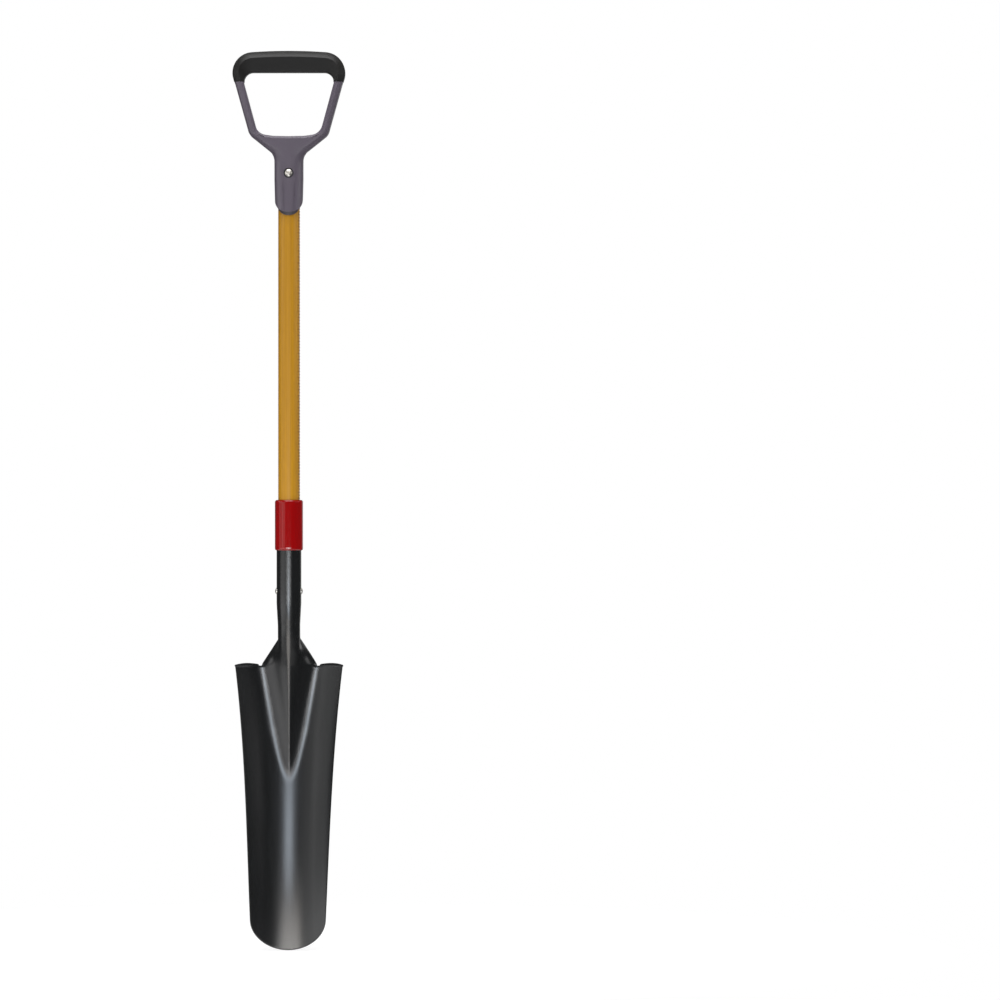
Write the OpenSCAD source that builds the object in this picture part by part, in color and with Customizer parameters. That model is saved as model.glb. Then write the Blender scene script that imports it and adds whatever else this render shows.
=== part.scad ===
// Trenching spade: a rolled steel head with an open back, a fibreglass shaft and a D grip.
// The shaft's axis is the Z axis and the scoop of the blade faces -Y. Pieces are drawn with the tip of
// the blade at z = 0 and then moved down, so that the origin is where the spade hangs on a peg.

/* [Blade] */
// Thickness of the steel sheet
sheet_t = 2; // [1.6:0.1:2.6]
// Length of the blade from its tip to the steps
blade_len = 384; // [330:1:430]
// Width of the blade across the steps
step_w = 145; // [130:1:165]
// Width that the sides of the blade would have at the level of the tip
tip_w = 98; // [80:1:115]
// Angle at which each side of the blade spreads at the steps
step_spread = 6.9; // [4:0.1:10]
// Angle at which each side of the blade spreads at the tip
tip_spread = 2.7; // [1:0.1:5]
// Height of the rounded end of the blade
tip_drop = 41; // [25:1:50]
// Depth of the scoop at the steps
scoop_top = 27; // [20:0.5:34]
// Depth of the scoop half way down
scoop_mid = 24; // [18:0.5:32]
// Depth of the scoop at the tip
scoop_tip = 15; // [10:0.5:24]
// How far the bottom of the scoop lies behind the shaft's axis at the steps
blade_set = 25; // [20:0.5:32]
// How far the tip lies in front of the shaft's axis
tip_reach = 31; // [15:0.5:45]
// Lean of the blade at the steps
top_lean = 2; // [0:0.1:5]
// Lean of the blade at the tip
tip_lean = 5.6; // [4:0.1:12]
// Width of each step's turned lip
lip_w = 7; // [4:0.5:10]
// Angle at which the lip rises towards the back
lip_rise = 25; // [0:1:45]

/* [Frog and neck] */
// Length of the raised frog below the steps
frog_len = 152; // [110:1:190]
// Width of the frog at the steps
frog_w = 66; // [54:1:72]
// Width of the frog where it runs out
frog_end_w = 6; // [3:0.5:12]
// Width of the flared skirt at the steps
skirt_w = 76; // [74:1:84]
// Height over which the skirt opens
skirt_len = 56; // [45:1:70]
// How far the skirt's edges bulge to the back
skirt_kick = 9; // [4:0.5:13]
// Height of the bent neck between the steps and the straight socket
neck_len = 86; // [80:1:105]
// Angle at which the neck leans back
neck_lean = 11.5; // [8:0.5:14]
// Radius of the neck's bend
bend_r = 250; // [200:5:300]
// Outer diameter of the neck where it is narrowest
throat_d = 30.4; // [29:0.1:32]

/* [Socket] */
// Length of the straight socket
socket_len = 120; // [95:1:150]
// Width of the open seam at the back of the socket
seam_gap = 3.2; // [1.5:0.1:6]
// Gap all round between the socket and the shaft
socket_fit = 0.2; // [0.1:0.05:0.4]
// Height of the rivet above the lower end of the socket
rivet_rise = 16; // [12:0.5:30]
// Diameter of the rivet's shank
rivet_d = 6; // [4:0.1:7]
// Diameter of the rivet's heads
rivet_head_d = 9.2; // [8:0.1:11]
// Height of the rivet's heads
rivet_head_h = 2; // [1.2:0.1:3]

/* [Collar] */
// Outer diameter of the collar
collar_d = 38.2; // [37:0.1:42]
// Length of the collar
collar_len = 68.5; // [60:0.5:90]
// How far the collar reaches down over the socket
collar_cover = 48.5; // [30:0.5:55]
// Rounding of the collar's ends
collar_round = 1.6; // [0.5:0.1:1.8]

/* [Shaft] */
// Outer diameter of the shaft
shaft_d = 29.2; // [28.6:0.1:29.6]
// Wall of the shaft
shaft_wall = 3.6; // [2.5:0.1:5]
// Length of the shaft
shaft_len = 598; // [480:1:720]
// Height of the shaft's lower end above the lower end of the socket
shaft_seat = 4; // [2:0.5:6]
// Length of the plug in the shaft's lower end
lower_plug_len = 90; // [50:1:140]
// Length of the plug in the shaft's upper end
upper_plug_len = 70; // [40:1:120]
// How far each plug lies inside the end of the shaft
plug_inset = 2; // [0.5:0.5:4]

/* [Grip loop] */
// Width of the hand opening at its top
open_top_w = 130.6; // [110:0.2:140]
// Width of the hand opening at its bottom
open_low_w = 85; // [72:0.5:96]
// Height of the hand opening
open_h = 87.5; // [78:0.5:100]
// How far the opening's lower edge sags
open_sag = 3.5; // [1:0.5:6]
// Radius of the opening's upper corners
open_corner_r = 13; // [7:0.5:14]
// Radius of the opening's lower corners
open_heel_r = 17; // [9:0.5:18]
// Thickness of the grip's arms at their upper ends, seen from the front
arm_w = 11.6; // [11.4:0.2:18]
// Thickness of the grip's arms at their lower ends, seen from the front
arm_low_w = 11; // [10.6:0.2:16]
// Depth of the grip from front to back
grip_depth = 33; // [28:0.5:38]
// Rounding of the grip's edges
grip_round = 5; // [3:0.1:5.4]
// Rounding of the crossbar's top edges
bar_round = 9; // [5.5:0.1:10]
// Height of the crossbar
bar_h = 28; // [24:0.5:34]
// How far the crossbar's top falls towards its corners
bar_crown = 3; // [1:0.5:5]
// Radius of the crossbar's corners, seen from the front
bar_corner_r = 27.5; // [18:0.5:30]
// Radius where the arms turn into the shoulders
shoulder_r = 15; // [12:0.5:20]
// Slope of the shoulders
shoulder_slope = 38.7; // [30:0.5:45]
// Height from the opening down to where the shoulders meet the neck
shoulder_drop = 25; // [18:0.5:28]
// Radius where the shoulders turn into the neck
neck_corner_r = 18; // [12:0.5:24]

/* [Grip neck] */
// Height of the web between the end of the shaft and the hand opening
web_h = 32; // [26:0.5:45]
// Width of the neck of the grip
grip_neck_w = 39.5; // [37:0.5:46]
// Depth of the neck of the grip
grip_neck_d = 33.8; // [33:0.1:40]
// Width of the skirt at its lower end
skirt_end_w = 36; // [35.5:0.5:44]
// Depth of the skirt at its lower end
skirt_end_d = 38.6; // [36:0.1:44]
// How far the skirt covers the shaft, on the shaft's axis
skirt_cover = 57.5; // [45:0.5:80]
// Angle of the skirt's slanting lower end
skirt_cut = 44; // [0:1:52]
// Gap all round between the grip and the shaft
grip_fit = 0.2; // [0.1:0.05:0.4]

/* [Cushion] */
// Thickness of the soft cushion over the crossbar
cushion_t = 3.6; // [2.5:0.1:4]
// How far the cushion stands proud of the arms
cushion_proud = 0.6; // [0:0.1:1.2]
// How far the cushion reaches down the arms below the opening's top
cushion_drop = 13.5; // [6:0.5:25]

/* [Screw] */
// Distance of the screw below the end of the shaft
screw_drop = 18; // [12:0.5:30]
// Diameter of the screw's thread
screw_d = 4.8; // [3.5:0.1:6]
// Length of the screw under its head
screw_len = 18; // [12:0.5:25]
// Diameter of the screw's head
screw_head_d = 10; // [8:0.1:11]
// Height of the screw's head
screw_head_h = 1.9; // [1.5:0.1:3]
// Length of each slot of the cross in the screw's head
slot_len = 5; // [3:0.1:6]
// Width of each slot of the cross
slot_w = 1.2; // [0.8:0.1:1.6]
// Depth of the cross
slot_depth = 1.2; // [0.6:0.1:1.4]
// Depth of the round recess for the head
screw_recess = 1.3; // [0.6:0.1:1.6]
// Gap all round between the head and the recess
recess_fit = 1.7; // [0.3:0.1:2.2]

/* [Hidden] */
// Gap between pieces that are pressed or moulded together
seat_gap = 0.1;
// Gap all round between a rivet or screw and its hole
hole_fit = 0.1;
// How far a cut reaches past the face that it opens
over = 1;

$fn = 96;

// Heights, from the tip upwards
step_z = blade_len;
open_z = step_z + skirt_len;
socket_z = step_z + neck_len;
socket_top_z = socket_z + socket_len;
rivet_z = socket_z + rivet_rise;
collar_z = socket_top_z - collar_cover;
shaft_z = socket_z + shaft_seat;
shaft_top_z = shaft_z + shaft_len;
screw_z = shaft_top_z - screw_drop;
opening_z = shaft_top_z + web_h;
opening_top_z = opening_z + open_h;
grip_top_z = opening_top_z + bar_h;
cushion_z = opening_top_z - cushion_drop;

// Radii of the round pieces
shaft_r = shaft_d / 2;
plug_r = shaft_r - shaft_wall - seat_gap;
socket_in_r = shaft_r + socket_fit;
socket_r = socket_in_r + sheet_t;
socket_mid_r = socket_in_r + sheet_t / 2;
throat_mid_r = (throat_d - sheet_t) / 2;

// The screw's places along Y, from the shaft's axis: floor of its recess, underside of its head, its end
recess_y = screw_recess - grip_neck_d / 2;
head_y = recess_y - seat_gap;
screw_end_y = head_y + screw_len;

// A length that is longer than the whole spade, for cuts
far = grip_top_z;

function lerp(a, b, t) = a + (b - a) * t;
function unit(v) = v / norm(v);
function clamp01(t) = max(0, min(1, t));

// Smooth run from a to b with the slopes at both ends, for t from 0 to 1
function glide(a, b, slope_a, slope_b, t) =
    (2 * t ^ 3 - 3 * t ^ 2 + 1) * a + (t ^ 3 - 2 * t ^ 2 + t) * slope_a
    + (3 * t ^ 2 - 2 * t ^ 3) * b + (t ^ 3 - t ^ 2) * slope_b;

// The positive part of u, with its corner softened over -k to k
function soft(u, k) = u >= k ? u : u <= -k ? 0 : (u + k) ^ 2 / (4 * k);

// The blade, as the middle of its sheet: half width, bottom of the scoop, and an arc across it
function half_w(z) = glide(step_w / 2, tip_w / 2, -tan(step_spread) * blade_len,
                           -tan(tip_spread) * blade_len, 1 - z / blade_len);
function spine_y(z) = glide(blade_set, -tip_reach, -tan(top_lean) * blade_len,
                            -tan(tip_lean) * blade_len, 1 - z / blade_len);
function scoop(z) =
    let (t = 1 - z / blade_len)
    scoop_top * (1 - t) * (1 - 2 * t) + scoop_mid * 4 * t * (1 - t) + scoop_tip * t * (2 * t - 1);
function scoop_r(z) = (half_w(z) ^ 2 + scoop(z) ^ 2) / (2 * scoop(z));
function scoop_y(x, z) = spine_y(z) - scoop_r(z) + sqrt(scoop_r(z) ^ 2 - x ^ 2);

// The neck's axis is straight in the socket, then bends back and runs straight to the steps
bend_drop = bend_r * sin(neck_lean);
function neck_y(z) =
    let (drop = socket_z - z)
    drop <= 0 ? 0
    : drop < bend_drop ? bend_r - sqrt(bend_r ^ 2 - drop ^ 2)
    : bend_r * (1 - cos(neck_lean)) + (drop - bend_drop) * tan(neck_lean);
function neck_r(z) = lerp(socket_mid_r, throat_mid_r, clamp01((socket_z - z) / (socket_z - open_z)));
seam_half = 180 - asin(seam_gap / 2 / socket_mid_r);

// The frog stands up from the scoop as a roof, which runs out towards the tip.
// Its edges are softened over these shares of its half width and of its length.
crest_soft = 0.08;
valley_soft = 0.16;
run_out_soft = 0.08;
crest_y = neck_y(step_z) - throat_mid_r;
frog_h = spine_y(step_z) - crest_y;
function roof(s) = soft(1 - sqrt(s ^ 2 + crest_soft ^ 2), valley_soft) / (1 - crest_soft);
function frog(x, z) =
    let (t = (z - step_z) / frog_len + 1,
         half = lerp(frog_end_w, frog_w, max(t, 0)) / 2)
    frog_h * soft(t, run_out_soft) * roof(x / half);
function blade_y(x, z) = scoop_y(x, z) - frog(x, z);

// The sheet is a grid of rows from the socket down to the tip and of columns across the blade.
// The middle columns run up into the neck, and the outer ones end in the lips of the steps.
neck_rows = 13;
blade_rows = 24;
lip_rows = 2;
neck_cols = 13;
wing_cols = 9;
mid_col = neck_cols + wing_cols;
last_col = 2 * mid_col;
last_row = neck_rows + blade_rows;
// The uppermost rows are thinned, and lie inside the wall of the socket
buried_rows = 2;
buried_len = 12;
buried_skin = 0.4;
buried_seam = 2;
above_socket = 0.5;
below_socket = 1.5;
// Share of the skirt's height over which it starts to open, how much of it the middle of the neck stays
// round for, and share of the lip's width at its ends
flare_soft = 0.06;
flare_lag = 0.45;
lip_end = 0.3;

edge_u = skirt_w / step_w;
function in_neck(c) = abs(c - mid_col) <= neck_cols;
function col_u(c) =
    let (k = abs(c - mid_col))
    sign(c - mid_col) * (k <= neck_cols ? edge_u * k / neck_cols
                         : sin(lerp(asin(edge_u), 90, (k - neck_cols) / wing_cols)));
function row_z(r) =
    r == 0 ? socket_z + buried_len
    : r < buried_rows ? socket_z + above_socket
    : lerp(socket_z - below_socket, step_z, (r - buried_rows) / (neck_rows - buried_rows));
function row_t(r) = r < buried_rows ? sheet_t - 2 * buried_skin : sheet_t;

function blade_point(u, t) =
    let (z = lerp(step_z, tip_drop * (1 - sqrt(1 - u ^ 2)), t),
         x = u * half_w(z))
    [x, blade_y(x, z), z];

// From the round tube to the shape of the blade at the steps; 27 / 4 makes skirt_kick the greatest bulge
function neck_point(p, r) =
    let (z = row_z(r),
         late = flare_lag * (1 - abs(p)),
         open = soft(((open_z - z) / skirt_len - late) / (1 - late), flare_soft),
         seam = seam_half - (r < buried_rows ? buried_seam : 0),
         tube = [neck_r(z) * sin(seam * p), neck_y(z) - neck_r(z) * cos(seam * p)],
         x = p * skirt_w / 2,
         at = lerp(tube, [x, blade_y(x, step_z)], open),
         kick = skirt_kick * 27 / 4 * open ^ 2 * (1 - open) * p ^ 4)
    [at[0], at[1] + kick, z];

function lip_point(u, s) =
    let (x = u * step_w / 2,
         r = scoop_r(step_z),
         back = [x, sqrt(r ^ 2 - x ^ 2), 0] / r,
         lens = sin(180 * (abs(u) - edge_u) / (1 - edge_u)),
         w = s * lip_w * lerp(lip_end, 1, lens))
    [x, blade_y(x, step_z), step_z] + w * (cos(lip_rise) * back + [0, 0, sin(lip_rise)]);

function sheet_point(r, c) =
    r >= neck_rows ? blade_point(col_u(c), (r - neck_rows) / blade_rows)
    : in_neck(c) ? neck_point((c - mid_col) / neck_cols, r)
    : lip_point(col_u(c), min(1, (neck_rows - r) / lip_rows));

// A cell lies between rows r and r + 1 and columns c and c + 1
function is_cell(r, c) =
    r >= 0 && r < last_row && c >= 0 && c < last_col
    && (r >= neck_rows || (in_neck(c) && in_neck(c + 1))
        || (!in_neck(c) && !in_neck(c + 1) && r >= neck_rows - lip_rows));
function is_used(r, c) = in_neck(c) || r >= neck_rows - lip_rows;
function beside(r, c, d) =
    r >= neck_rows ? max(0, min(last_col, c + d))
    : c + d < 0 || c + d > last_col || in_neck(c + d) != in_neck(c) ? c
    : c + d;
function above(r, c) = in_neck(c) ? max(0, r - 1) : max(neck_rows - lip_rows, r - 1);

sheet = [for (r = [0:last_row]) [for (c = [0:last_col]) sheet_point(r, c)]];
function sheet_normal(r, c) =
    unit(cross(sheet[r][beside(r, c, 1)] - sheet[r][beside(r, c, -1)],
               sheet[min(last_row, r + 1)][c] - sheet[above(r, c)][c]));
function skin(side) = [for (r = [0:last_row]) for (c = [0:last_col])
    sheet[r][c] + (is_used(r, c) ? side * row_t(r) / 2 * sheet_normal(r, c) : [0, 0, 0])];

// Corner numbers of a cell, clockwise as seen from the front
function cell_corners(r, c) =
    let (w = last_col + 1, first = r * w + c)
    [first, first + 1, first + w + 1, first + w];
function split_quad(q) = [[q[0], q[1], q[2]], [q[0], q[2], q[3]]];
function rim(a, b, n) = split_quad([b, a, a + n, b + n]);

module rolled_sheet() {
    n = (last_row + 1) * (last_col + 1);
    points = concat(skin(-1), skin(1));
    faces = [for (r = [0:last_row - 1]) for (c = [0:last_col - 1]) if (is_cell(r, c))
        let (q = cell_corners(r, c))
        each concat(
            split_quad(q),
            split_quad([q[3] + n, q[2] + n, q[1] + n, q[0] + n]),
            is_cell(r - 1, c) ? [] : rim(q[0], q[1], n),
            is_cell(r, c + 1) ? [] : rim(q[1], q[2], n),
            is_cell(r + 1, c) ? [] : rim(q[2], q[3], n),
            is_cell(r, c - 1) ? [] : rim(q[3], q[0], n))];
    polyhedron(points, faces, convexity = 10);
}

// The origin lies in the middle of the crossbar's underside
hang_z = opening_top_z - cushion_proud;
module in_frame() {
    translate([0, 0, -hang_z]) children();
}

// Holes across the shaft: the rivet's along X, the screw's from the front along Y
module rivet_hole() {
    translate([0, 0, rivet_z]) rotate([0, 90, 0])
        cylinder(r = rivet_d / 2 + hole_fit, h = far, center = true);
}
module screw_hole() {
    translate([0, screw_end_y + hole_fit, screw_z]) rotate([90, 0, 0])
        cylinder(r = screw_d / 2 + hole_fit, h = far);
}

// The dome of a rivet's or screw's head, which stands on z = 0
module dome(d, h) {
    r = ((d / 2) ^ 2 + h ^ 2) / (2 * h);
    intersection() {
        cylinder(d = d, h = h + over);
        translate([0, 0, h - r]) sphere(r = r);
    }
}

module blade_head() {
    color("#2b2d2f") in_frame() difference() {
        union() {
            rolled_sheet();
            rotate([0, 0, 90 + (180 - seam_half)]) rotate_extrude(angle = 2 * seam_half)
                translate([socket_in_r, socket_z]) square([sheet_t, socket_len]);
        }
        rivet_hole();
    }
}

module socket_rivet() {
    sink = socket_r - sqrt(socket_r ^ 2 - (rivet_head_d / 2) ^ 2);
    color("#cfcac0") in_frame() translate([0, 0, rivet_z]) {
        rotate([0, 90, 0]) cylinder(d = rivet_d, h = 2 * socket_r + rivet_head_h, center = true);
        for (side = [0, 180]) rotate([0, 0, side]) difference() {
            rotate([0, 90, 0]) translate([0, 0, socket_r - sink]) {
                cylinder(d = rivet_head_d, h = sink);
                translate([0, 0, sink]) dome(rivet_head_d, rivet_head_h);
            }
            cylinder(r = socket_r + seat_gap, h = far, center = true);
        }
    }
}

module socket_collar() {
    color("#b80d12") in_frame() translate([0, 0, collar_z]) difference() {
        rotate_extrude() {
            square([collar_d / 2 - collar_round, collar_len]);
            translate([0, collar_round]) square([collar_d / 2, collar_len - 2 * collar_round]);
            for (z = [collar_round, collar_len - collar_round])
                translate([collar_d / 2 - collar_round, z]) circle(r = collar_round);
        }
        translate([0, 0, -over]) cylinder(r = shaft_r + seat_gap, h = collar_len + 2 * over);
        translate([0, 0, -over]) cylinder(r = socket_r + seat_gap, h = collar_cover + seat_gap + over);
    }
}

module shaft() {
    color("#c48a2c") in_frame() difference() {
        translate([0, 0, shaft_z]) cylinder(r = shaft_r, h = shaft_len);
        translate([0, 0, shaft_z - over]) cylinder(r = shaft_r - shaft_wall, h = shaft_len + 2 * over);
        rivet_hole();
        screw_hole();
    }
}

module lower_plug() {
    color("#d8c29a") in_frame() difference() {
        translate([0, 0, shaft_z + plug_inset]) cylinder(r = plug_r, h = lower_plug_len);
        rivet_hole();
    }
}

module upper_plug() {
    color("#d8c29a") in_frame() difference() {
        translate([0, 0, shaft_top_z - plug_inset - upper_plug_len]) cylinder(r = plug_r, h = upper_plug_len);
        screw_hole();
    }
}

// Round stretch at corner p between a and b, as pairs of a point and its outward normal
corner_steps = 5;
function turn(v, angle) = [v[0] * cos(angle) - v[1] * sin(angle), v[0] * sin(angle) + v[1] * cos(angle)];
function corner(a, p, b, r) =
    let (u = unit(a - p),
         v = unit(b - p),
         half = acos(u * v) / 2,
         hub = p + unit(u + v) * r / sin(half),
         start = p + u * r / tan(half) - hub,
         way = sign(u[1] * v[0] - u[0] * v[1]))
    [for (i = [0:corner_steps])
        let (d = turn(start, way * (180 - 2 * half) * i / corner_steps))
        [hub + d, -way * d / r]];
// Where the line through p along d crosses the line through q along e
function meet(p, d, q, e) = p + d * ((q - p) * [e[1], -e[0]]) / (d * [e[1], -e[0]]);

// Right half of the hand opening's outline in X and Z, from the top of the middle down to its bottom
belly_r = 40;
open_top = [0, opening_top_z];
open_corner = [open_top_w / 2, opening_top_z];
open_heel = [open_low_w / 2, opening_z + open_sag];
open_belly = [open_low_w / 4, opening_z + open_sag / 8];
open_low = [0, opening_z];
inner_half = concat([[open_top, [0, 1]]],
                    corner(open_top, open_corner, open_heel, open_corner_r),
                    corner(open_corner, open_heel, open_belly, open_heel_r),
                    corner(open_heel, open_belly, open_low, belly_r),
                    [[open_low, [0, -1]]]);

// Right half of the grip's outer outline, whose lower end lies inside the neck
neck_in = 4;
inner_dir = unit(open_corner - open_heel);
arm_side = open_corner + [inner_dir[1], -inner_dir[0]] * arm_w;
arm_heel = open_heel + [inner_dir[1], -inner_dir[0]] * arm_low_w;
arm_dir = unit(arm_side - arm_heel);
bar_top = [0, grip_top_z];
neck_corner = [grip_neck_w / 2, opening_z - shoulder_drop];
neck_foot = [grip_neck_w / 2 - neck_in, shaft_top_z - neck_in];
bar_corner = meet(arm_side, arm_dir, bar_top, unit([open_top_w / 2, -bar_crown]));
shoulder = meet(arm_side, arm_dir, neck_corner, [cos(shoulder_slope), sin(shoulder_slope)]);
outer_half = concat([[bar_top, [0, 1]]],
                    corner(bar_top, bar_corner, shoulder, bar_corner_r),
                    corner(bar_corner, shoulder, neck_corner, shoulder_r),
                    corner(shoulder, neck_corner, neck_foot, neck_corner_r),
                    [[[0, neck_foot[1]], [0, -1]]]);

function flip(e) = [[-e[0][0], e[0][1]], [-e[1][0], e[1][1]]];
function whole(half) = concat(half, [for (i = [len(half) - 2:-1:1]) flip(half[i])]);

// The looped part of the grip with rounded edges, grown by some amount all over.
// A level is a place along Y and how far the outlines draw in there.
edge_steps = 3;
least_edge = 1.5;
module grip_loop(grow) {
    edge = max(grip_round + grow, least_edge);
    depth = grip_depth / 2 + grow;
    rounder = bar_round / grip_round - 1;
    levels = [for (side = [-1, 1]) for (i = [0:edge_steps])
        let (a = 90 * (side < 0 ? edge_steps - i : i) / edge_steps)
        [side * (depth - edge + edge * sin(a)), edge * (1 - cos(a))]];
    function inset(e, way, level) = grow - level[1] * (1 + rounder * max(0, way * e[1][1]));
    function ring(loop, way, level) = [for (e = loop)
        let (p = e[0] + e[1] * way * inset(e, way, level))
        [p[0], level[0], p[1]]];
    outer = whole(outer_half);
    inner = whole(inner_half);
    n = len(outer);
    last = len(levels) - 1;
    points = concat([for (l = levels) each ring(outer, 1, l)], [for (l = levels) each ring(inner, -1, l)]);
    function o(k, i) = k * n + i % n;
    function h(k, i) = (last + 1 + k) * n + i % n;
    faces = [for (i = [0:n - 1]) each concat(
        split_quad([o(0, i), o(0, i + 1), h(0, i + 1), h(0, i)]),
        split_quad([o(last, i + 1), o(last, i), h(last, i), h(last, i + 1)]),
        [for (k = [0:last - 1]) each concat(
            split_quad([o(k, i + 1), o(k, i), o(k + 1, i), o(k + 1, i + 1)]),
            split_quad([h(k, i), h(k, i + 1), h(k + 1, i + 1), h(k + 1, i)]))])];
    polyhedron(points, faces, convexity = 10);
}
module above_z(z) {
    translate([-far / 2, -far / 2, z]) cube(far);
}
module below_z(z) {
    translate([-far / 2, -far / 2, z - far]) cube(far);
}

// The neck and skirt of the grip: oval sections with squared shoulders, from top to bottom.
// A section is its height, width and depth, and the neck's root inside the loop is slimmer.
skirt_sides = 40;
square_power = 0.8;
root_in = 3;
module grip_skirt() {
    sections = [[opening_z - shoulder_drop / 2, grip_neck_w - 2 * root_in, grip_neck_d - 2 * root_in],
                [shaft_top_z, grip_neck_w, grip_neck_d],
                [screw_z - screw_head_d, grip_neck_w, grip_neck_d],
                [shaft_top_z - skirt_cover - skirt_end_d, skirt_end_w, skirt_end_d]];
    function oval(v) = sign(v) * abs(v) ^ square_power;
    points = [for (s = sections) for (i = [0:skirt_sides - 1])
        let (a = 360 * (i + 0.5) / skirt_sides)
        [s[1] / 2 * oval(sin(a)), s[2] / 2 * oval(cos(a)), s[0]]];
    last = len(sections) - 1;
    function at(k, i) = k * skirt_sides + i % skirt_sides;
    walls = [for (k = [0:last - 1]) for (i = [0:skirt_sides - 1])
        each split_quad([at(k, i + 1), at(k, i), at(k + 1, i), at(k + 1, i + 1)])];
    caps = [[for (i = [0:skirt_sides - 1]) i], [for (i = [skirt_sides - 1:-1:0]) at(last, i)]];
    polyhedron(points, concat(caps, walls), convexity = 4);
}

module grip_frame() {
    color("#66606a") in_frame() difference() {
        union() {
            intersection() {
                grip_loop(0);
                below_z(cushion_z - seat_gap);
            }
            intersection() {
                grip_loop(-cushion_t);
                above_z(cushion_z - cushion_drop);
            }
            grip_skirt();
        }
        translate([0, 0, shaft_top_z - skirt_cover]) rotate([skirt_cut, 0, 0]) below_z(0);
        cylinder(r = shaft_r + grip_fit, h = shaft_top_z + seat_gap);
        screw_hole();
        translate([0, recess_y, screw_z]) rotate([90, 0, 0])
            cylinder(d = screw_head_d + 2 * recess_fit, h = far);
    }
}

module grip_cushion() {
    color("#262524") in_frame() difference() {
        intersection() {
            grip_loop(cushion_proud);
            above_z(cushion_z);
        }
        grip_loop(seat_gap - cushion_t);
    }
}

module grip_screw() {
    color("#cfcac0") in_frame() translate([0, head_y, screw_z]) rotate([90, 0, 0]) difference() {
        union() {
            dome(screw_head_d, screw_head_h);
            translate([0, 0, -screw_len]) cylinder(d = screw_d, h = screw_len + screw_head_h / 2);
        }
        for (a = [0, 90]) rotate([0, 0, a]) translate([-slot_len / 2, -slot_w / 2, screw_head_h - slot_depth])
            cube([slot_len, slot_w, slot_depth + over]);
    }
}

blade_head();
socket_rivet();
socket_collar();
shaft();
lower_plug();
upper_plug();
grip_frame();
grip_cushion();
grip_screw();
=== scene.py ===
"""Looks of the trenching spade: a lacquered steel head, a fibreglass shaft and a padded D grip."""

import math

import bmesh
import bpy
from mathutils import Matrix, Vector


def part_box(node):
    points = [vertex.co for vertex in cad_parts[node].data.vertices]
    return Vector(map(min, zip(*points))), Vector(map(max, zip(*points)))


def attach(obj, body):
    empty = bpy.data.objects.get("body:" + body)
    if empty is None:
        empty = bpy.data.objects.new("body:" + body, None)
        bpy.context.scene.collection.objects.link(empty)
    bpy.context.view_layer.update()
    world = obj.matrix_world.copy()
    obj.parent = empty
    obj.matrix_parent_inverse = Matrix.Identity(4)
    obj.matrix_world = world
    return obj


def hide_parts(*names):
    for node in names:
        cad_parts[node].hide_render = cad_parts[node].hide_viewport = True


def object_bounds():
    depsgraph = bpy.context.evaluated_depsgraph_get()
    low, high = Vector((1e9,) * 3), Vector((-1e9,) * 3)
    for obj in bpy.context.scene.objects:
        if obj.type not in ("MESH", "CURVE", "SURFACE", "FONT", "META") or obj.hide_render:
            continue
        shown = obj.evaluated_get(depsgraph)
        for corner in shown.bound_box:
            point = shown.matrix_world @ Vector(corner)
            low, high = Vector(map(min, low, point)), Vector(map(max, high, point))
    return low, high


bl_info = {
    "name": "Trenching spade",
    "version": (1, 0, 0),
    "blender": (4, 5, 0),
    "location": "View3D > Sidebar > Spade",
    "description": "Builds a trenching spade piece by piece around its packed frame",
    "category": "Add Mesh",
}

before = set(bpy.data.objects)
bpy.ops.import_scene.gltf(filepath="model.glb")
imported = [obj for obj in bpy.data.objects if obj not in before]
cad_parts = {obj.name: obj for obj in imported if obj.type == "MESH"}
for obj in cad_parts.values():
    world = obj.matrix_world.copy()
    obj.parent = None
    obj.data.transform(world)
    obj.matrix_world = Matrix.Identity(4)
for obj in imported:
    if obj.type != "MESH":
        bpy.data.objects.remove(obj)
CAD_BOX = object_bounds()

# The shaft's axis is the frame's Z axis. HeadSheet and the stage count heights from the blade's tip.
TIP_Z = CAD_BOX[0].z
SHAFT_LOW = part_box("shaft")[0].z
SHAFT_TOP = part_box("shaft")[1].z
SHAFT_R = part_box("shaft")[1].x
COLLAR_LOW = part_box("socket_collar")[0].z
COLLAR_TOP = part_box("socket_collar")[1].z
COLLAR_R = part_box("socket_collar")[1].x
SCREW_Z = (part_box("grip_screw")[0].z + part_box("grip_screw")[1].z) / 2
CUSHION_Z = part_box("grip_cushion")[0].z


# Properties


def length(name, description, default):
    """A length property in metres"""
    return bpy.props.FloatProperty(
        name=name, description=description, default=default, min=0.0, precision=4,
        subtype="DISTANCE", unit="LENGTH")


def angle(name, description, degrees):
    """An angle property, given in degrees"""
    return bpy.props.FloatProperty(
        name=name, description=description, default=math.radians(degrees),
        subtype="ANGLE", unit="ROTATION")


def share(name, description, default):
    """A property between 0 and 1"""
    return bpy.props.FloatProperty(
        name=name, description=description, default=default, min=0.0, max=1.0, subtype="FACTOR")


def amount(name, description, default):
    """A plain number"""
    return bpy.props.FloatProperty(name=name, description=description, default=default, min=0.0)


def linear(code):
    """Linear red, green and blue of a screen colour such as 4080ff"""
    values = [int(code[i:i + 2], 16) / 255 for i in (0, 2, 4)]
    return [v / 12.92 if v <= 0.04045 else ((v + 0.055) / 1.055) ** 2.4 for v in values]


def colour(name, description, code):
    """A colour property, given as a screen colour"""
    return bpy.props.FloatVectorProperty(
        name=name, description=description, default=linear(code), min=0.0, max=1.0, size=3,
        subtype="COLOR")


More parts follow.
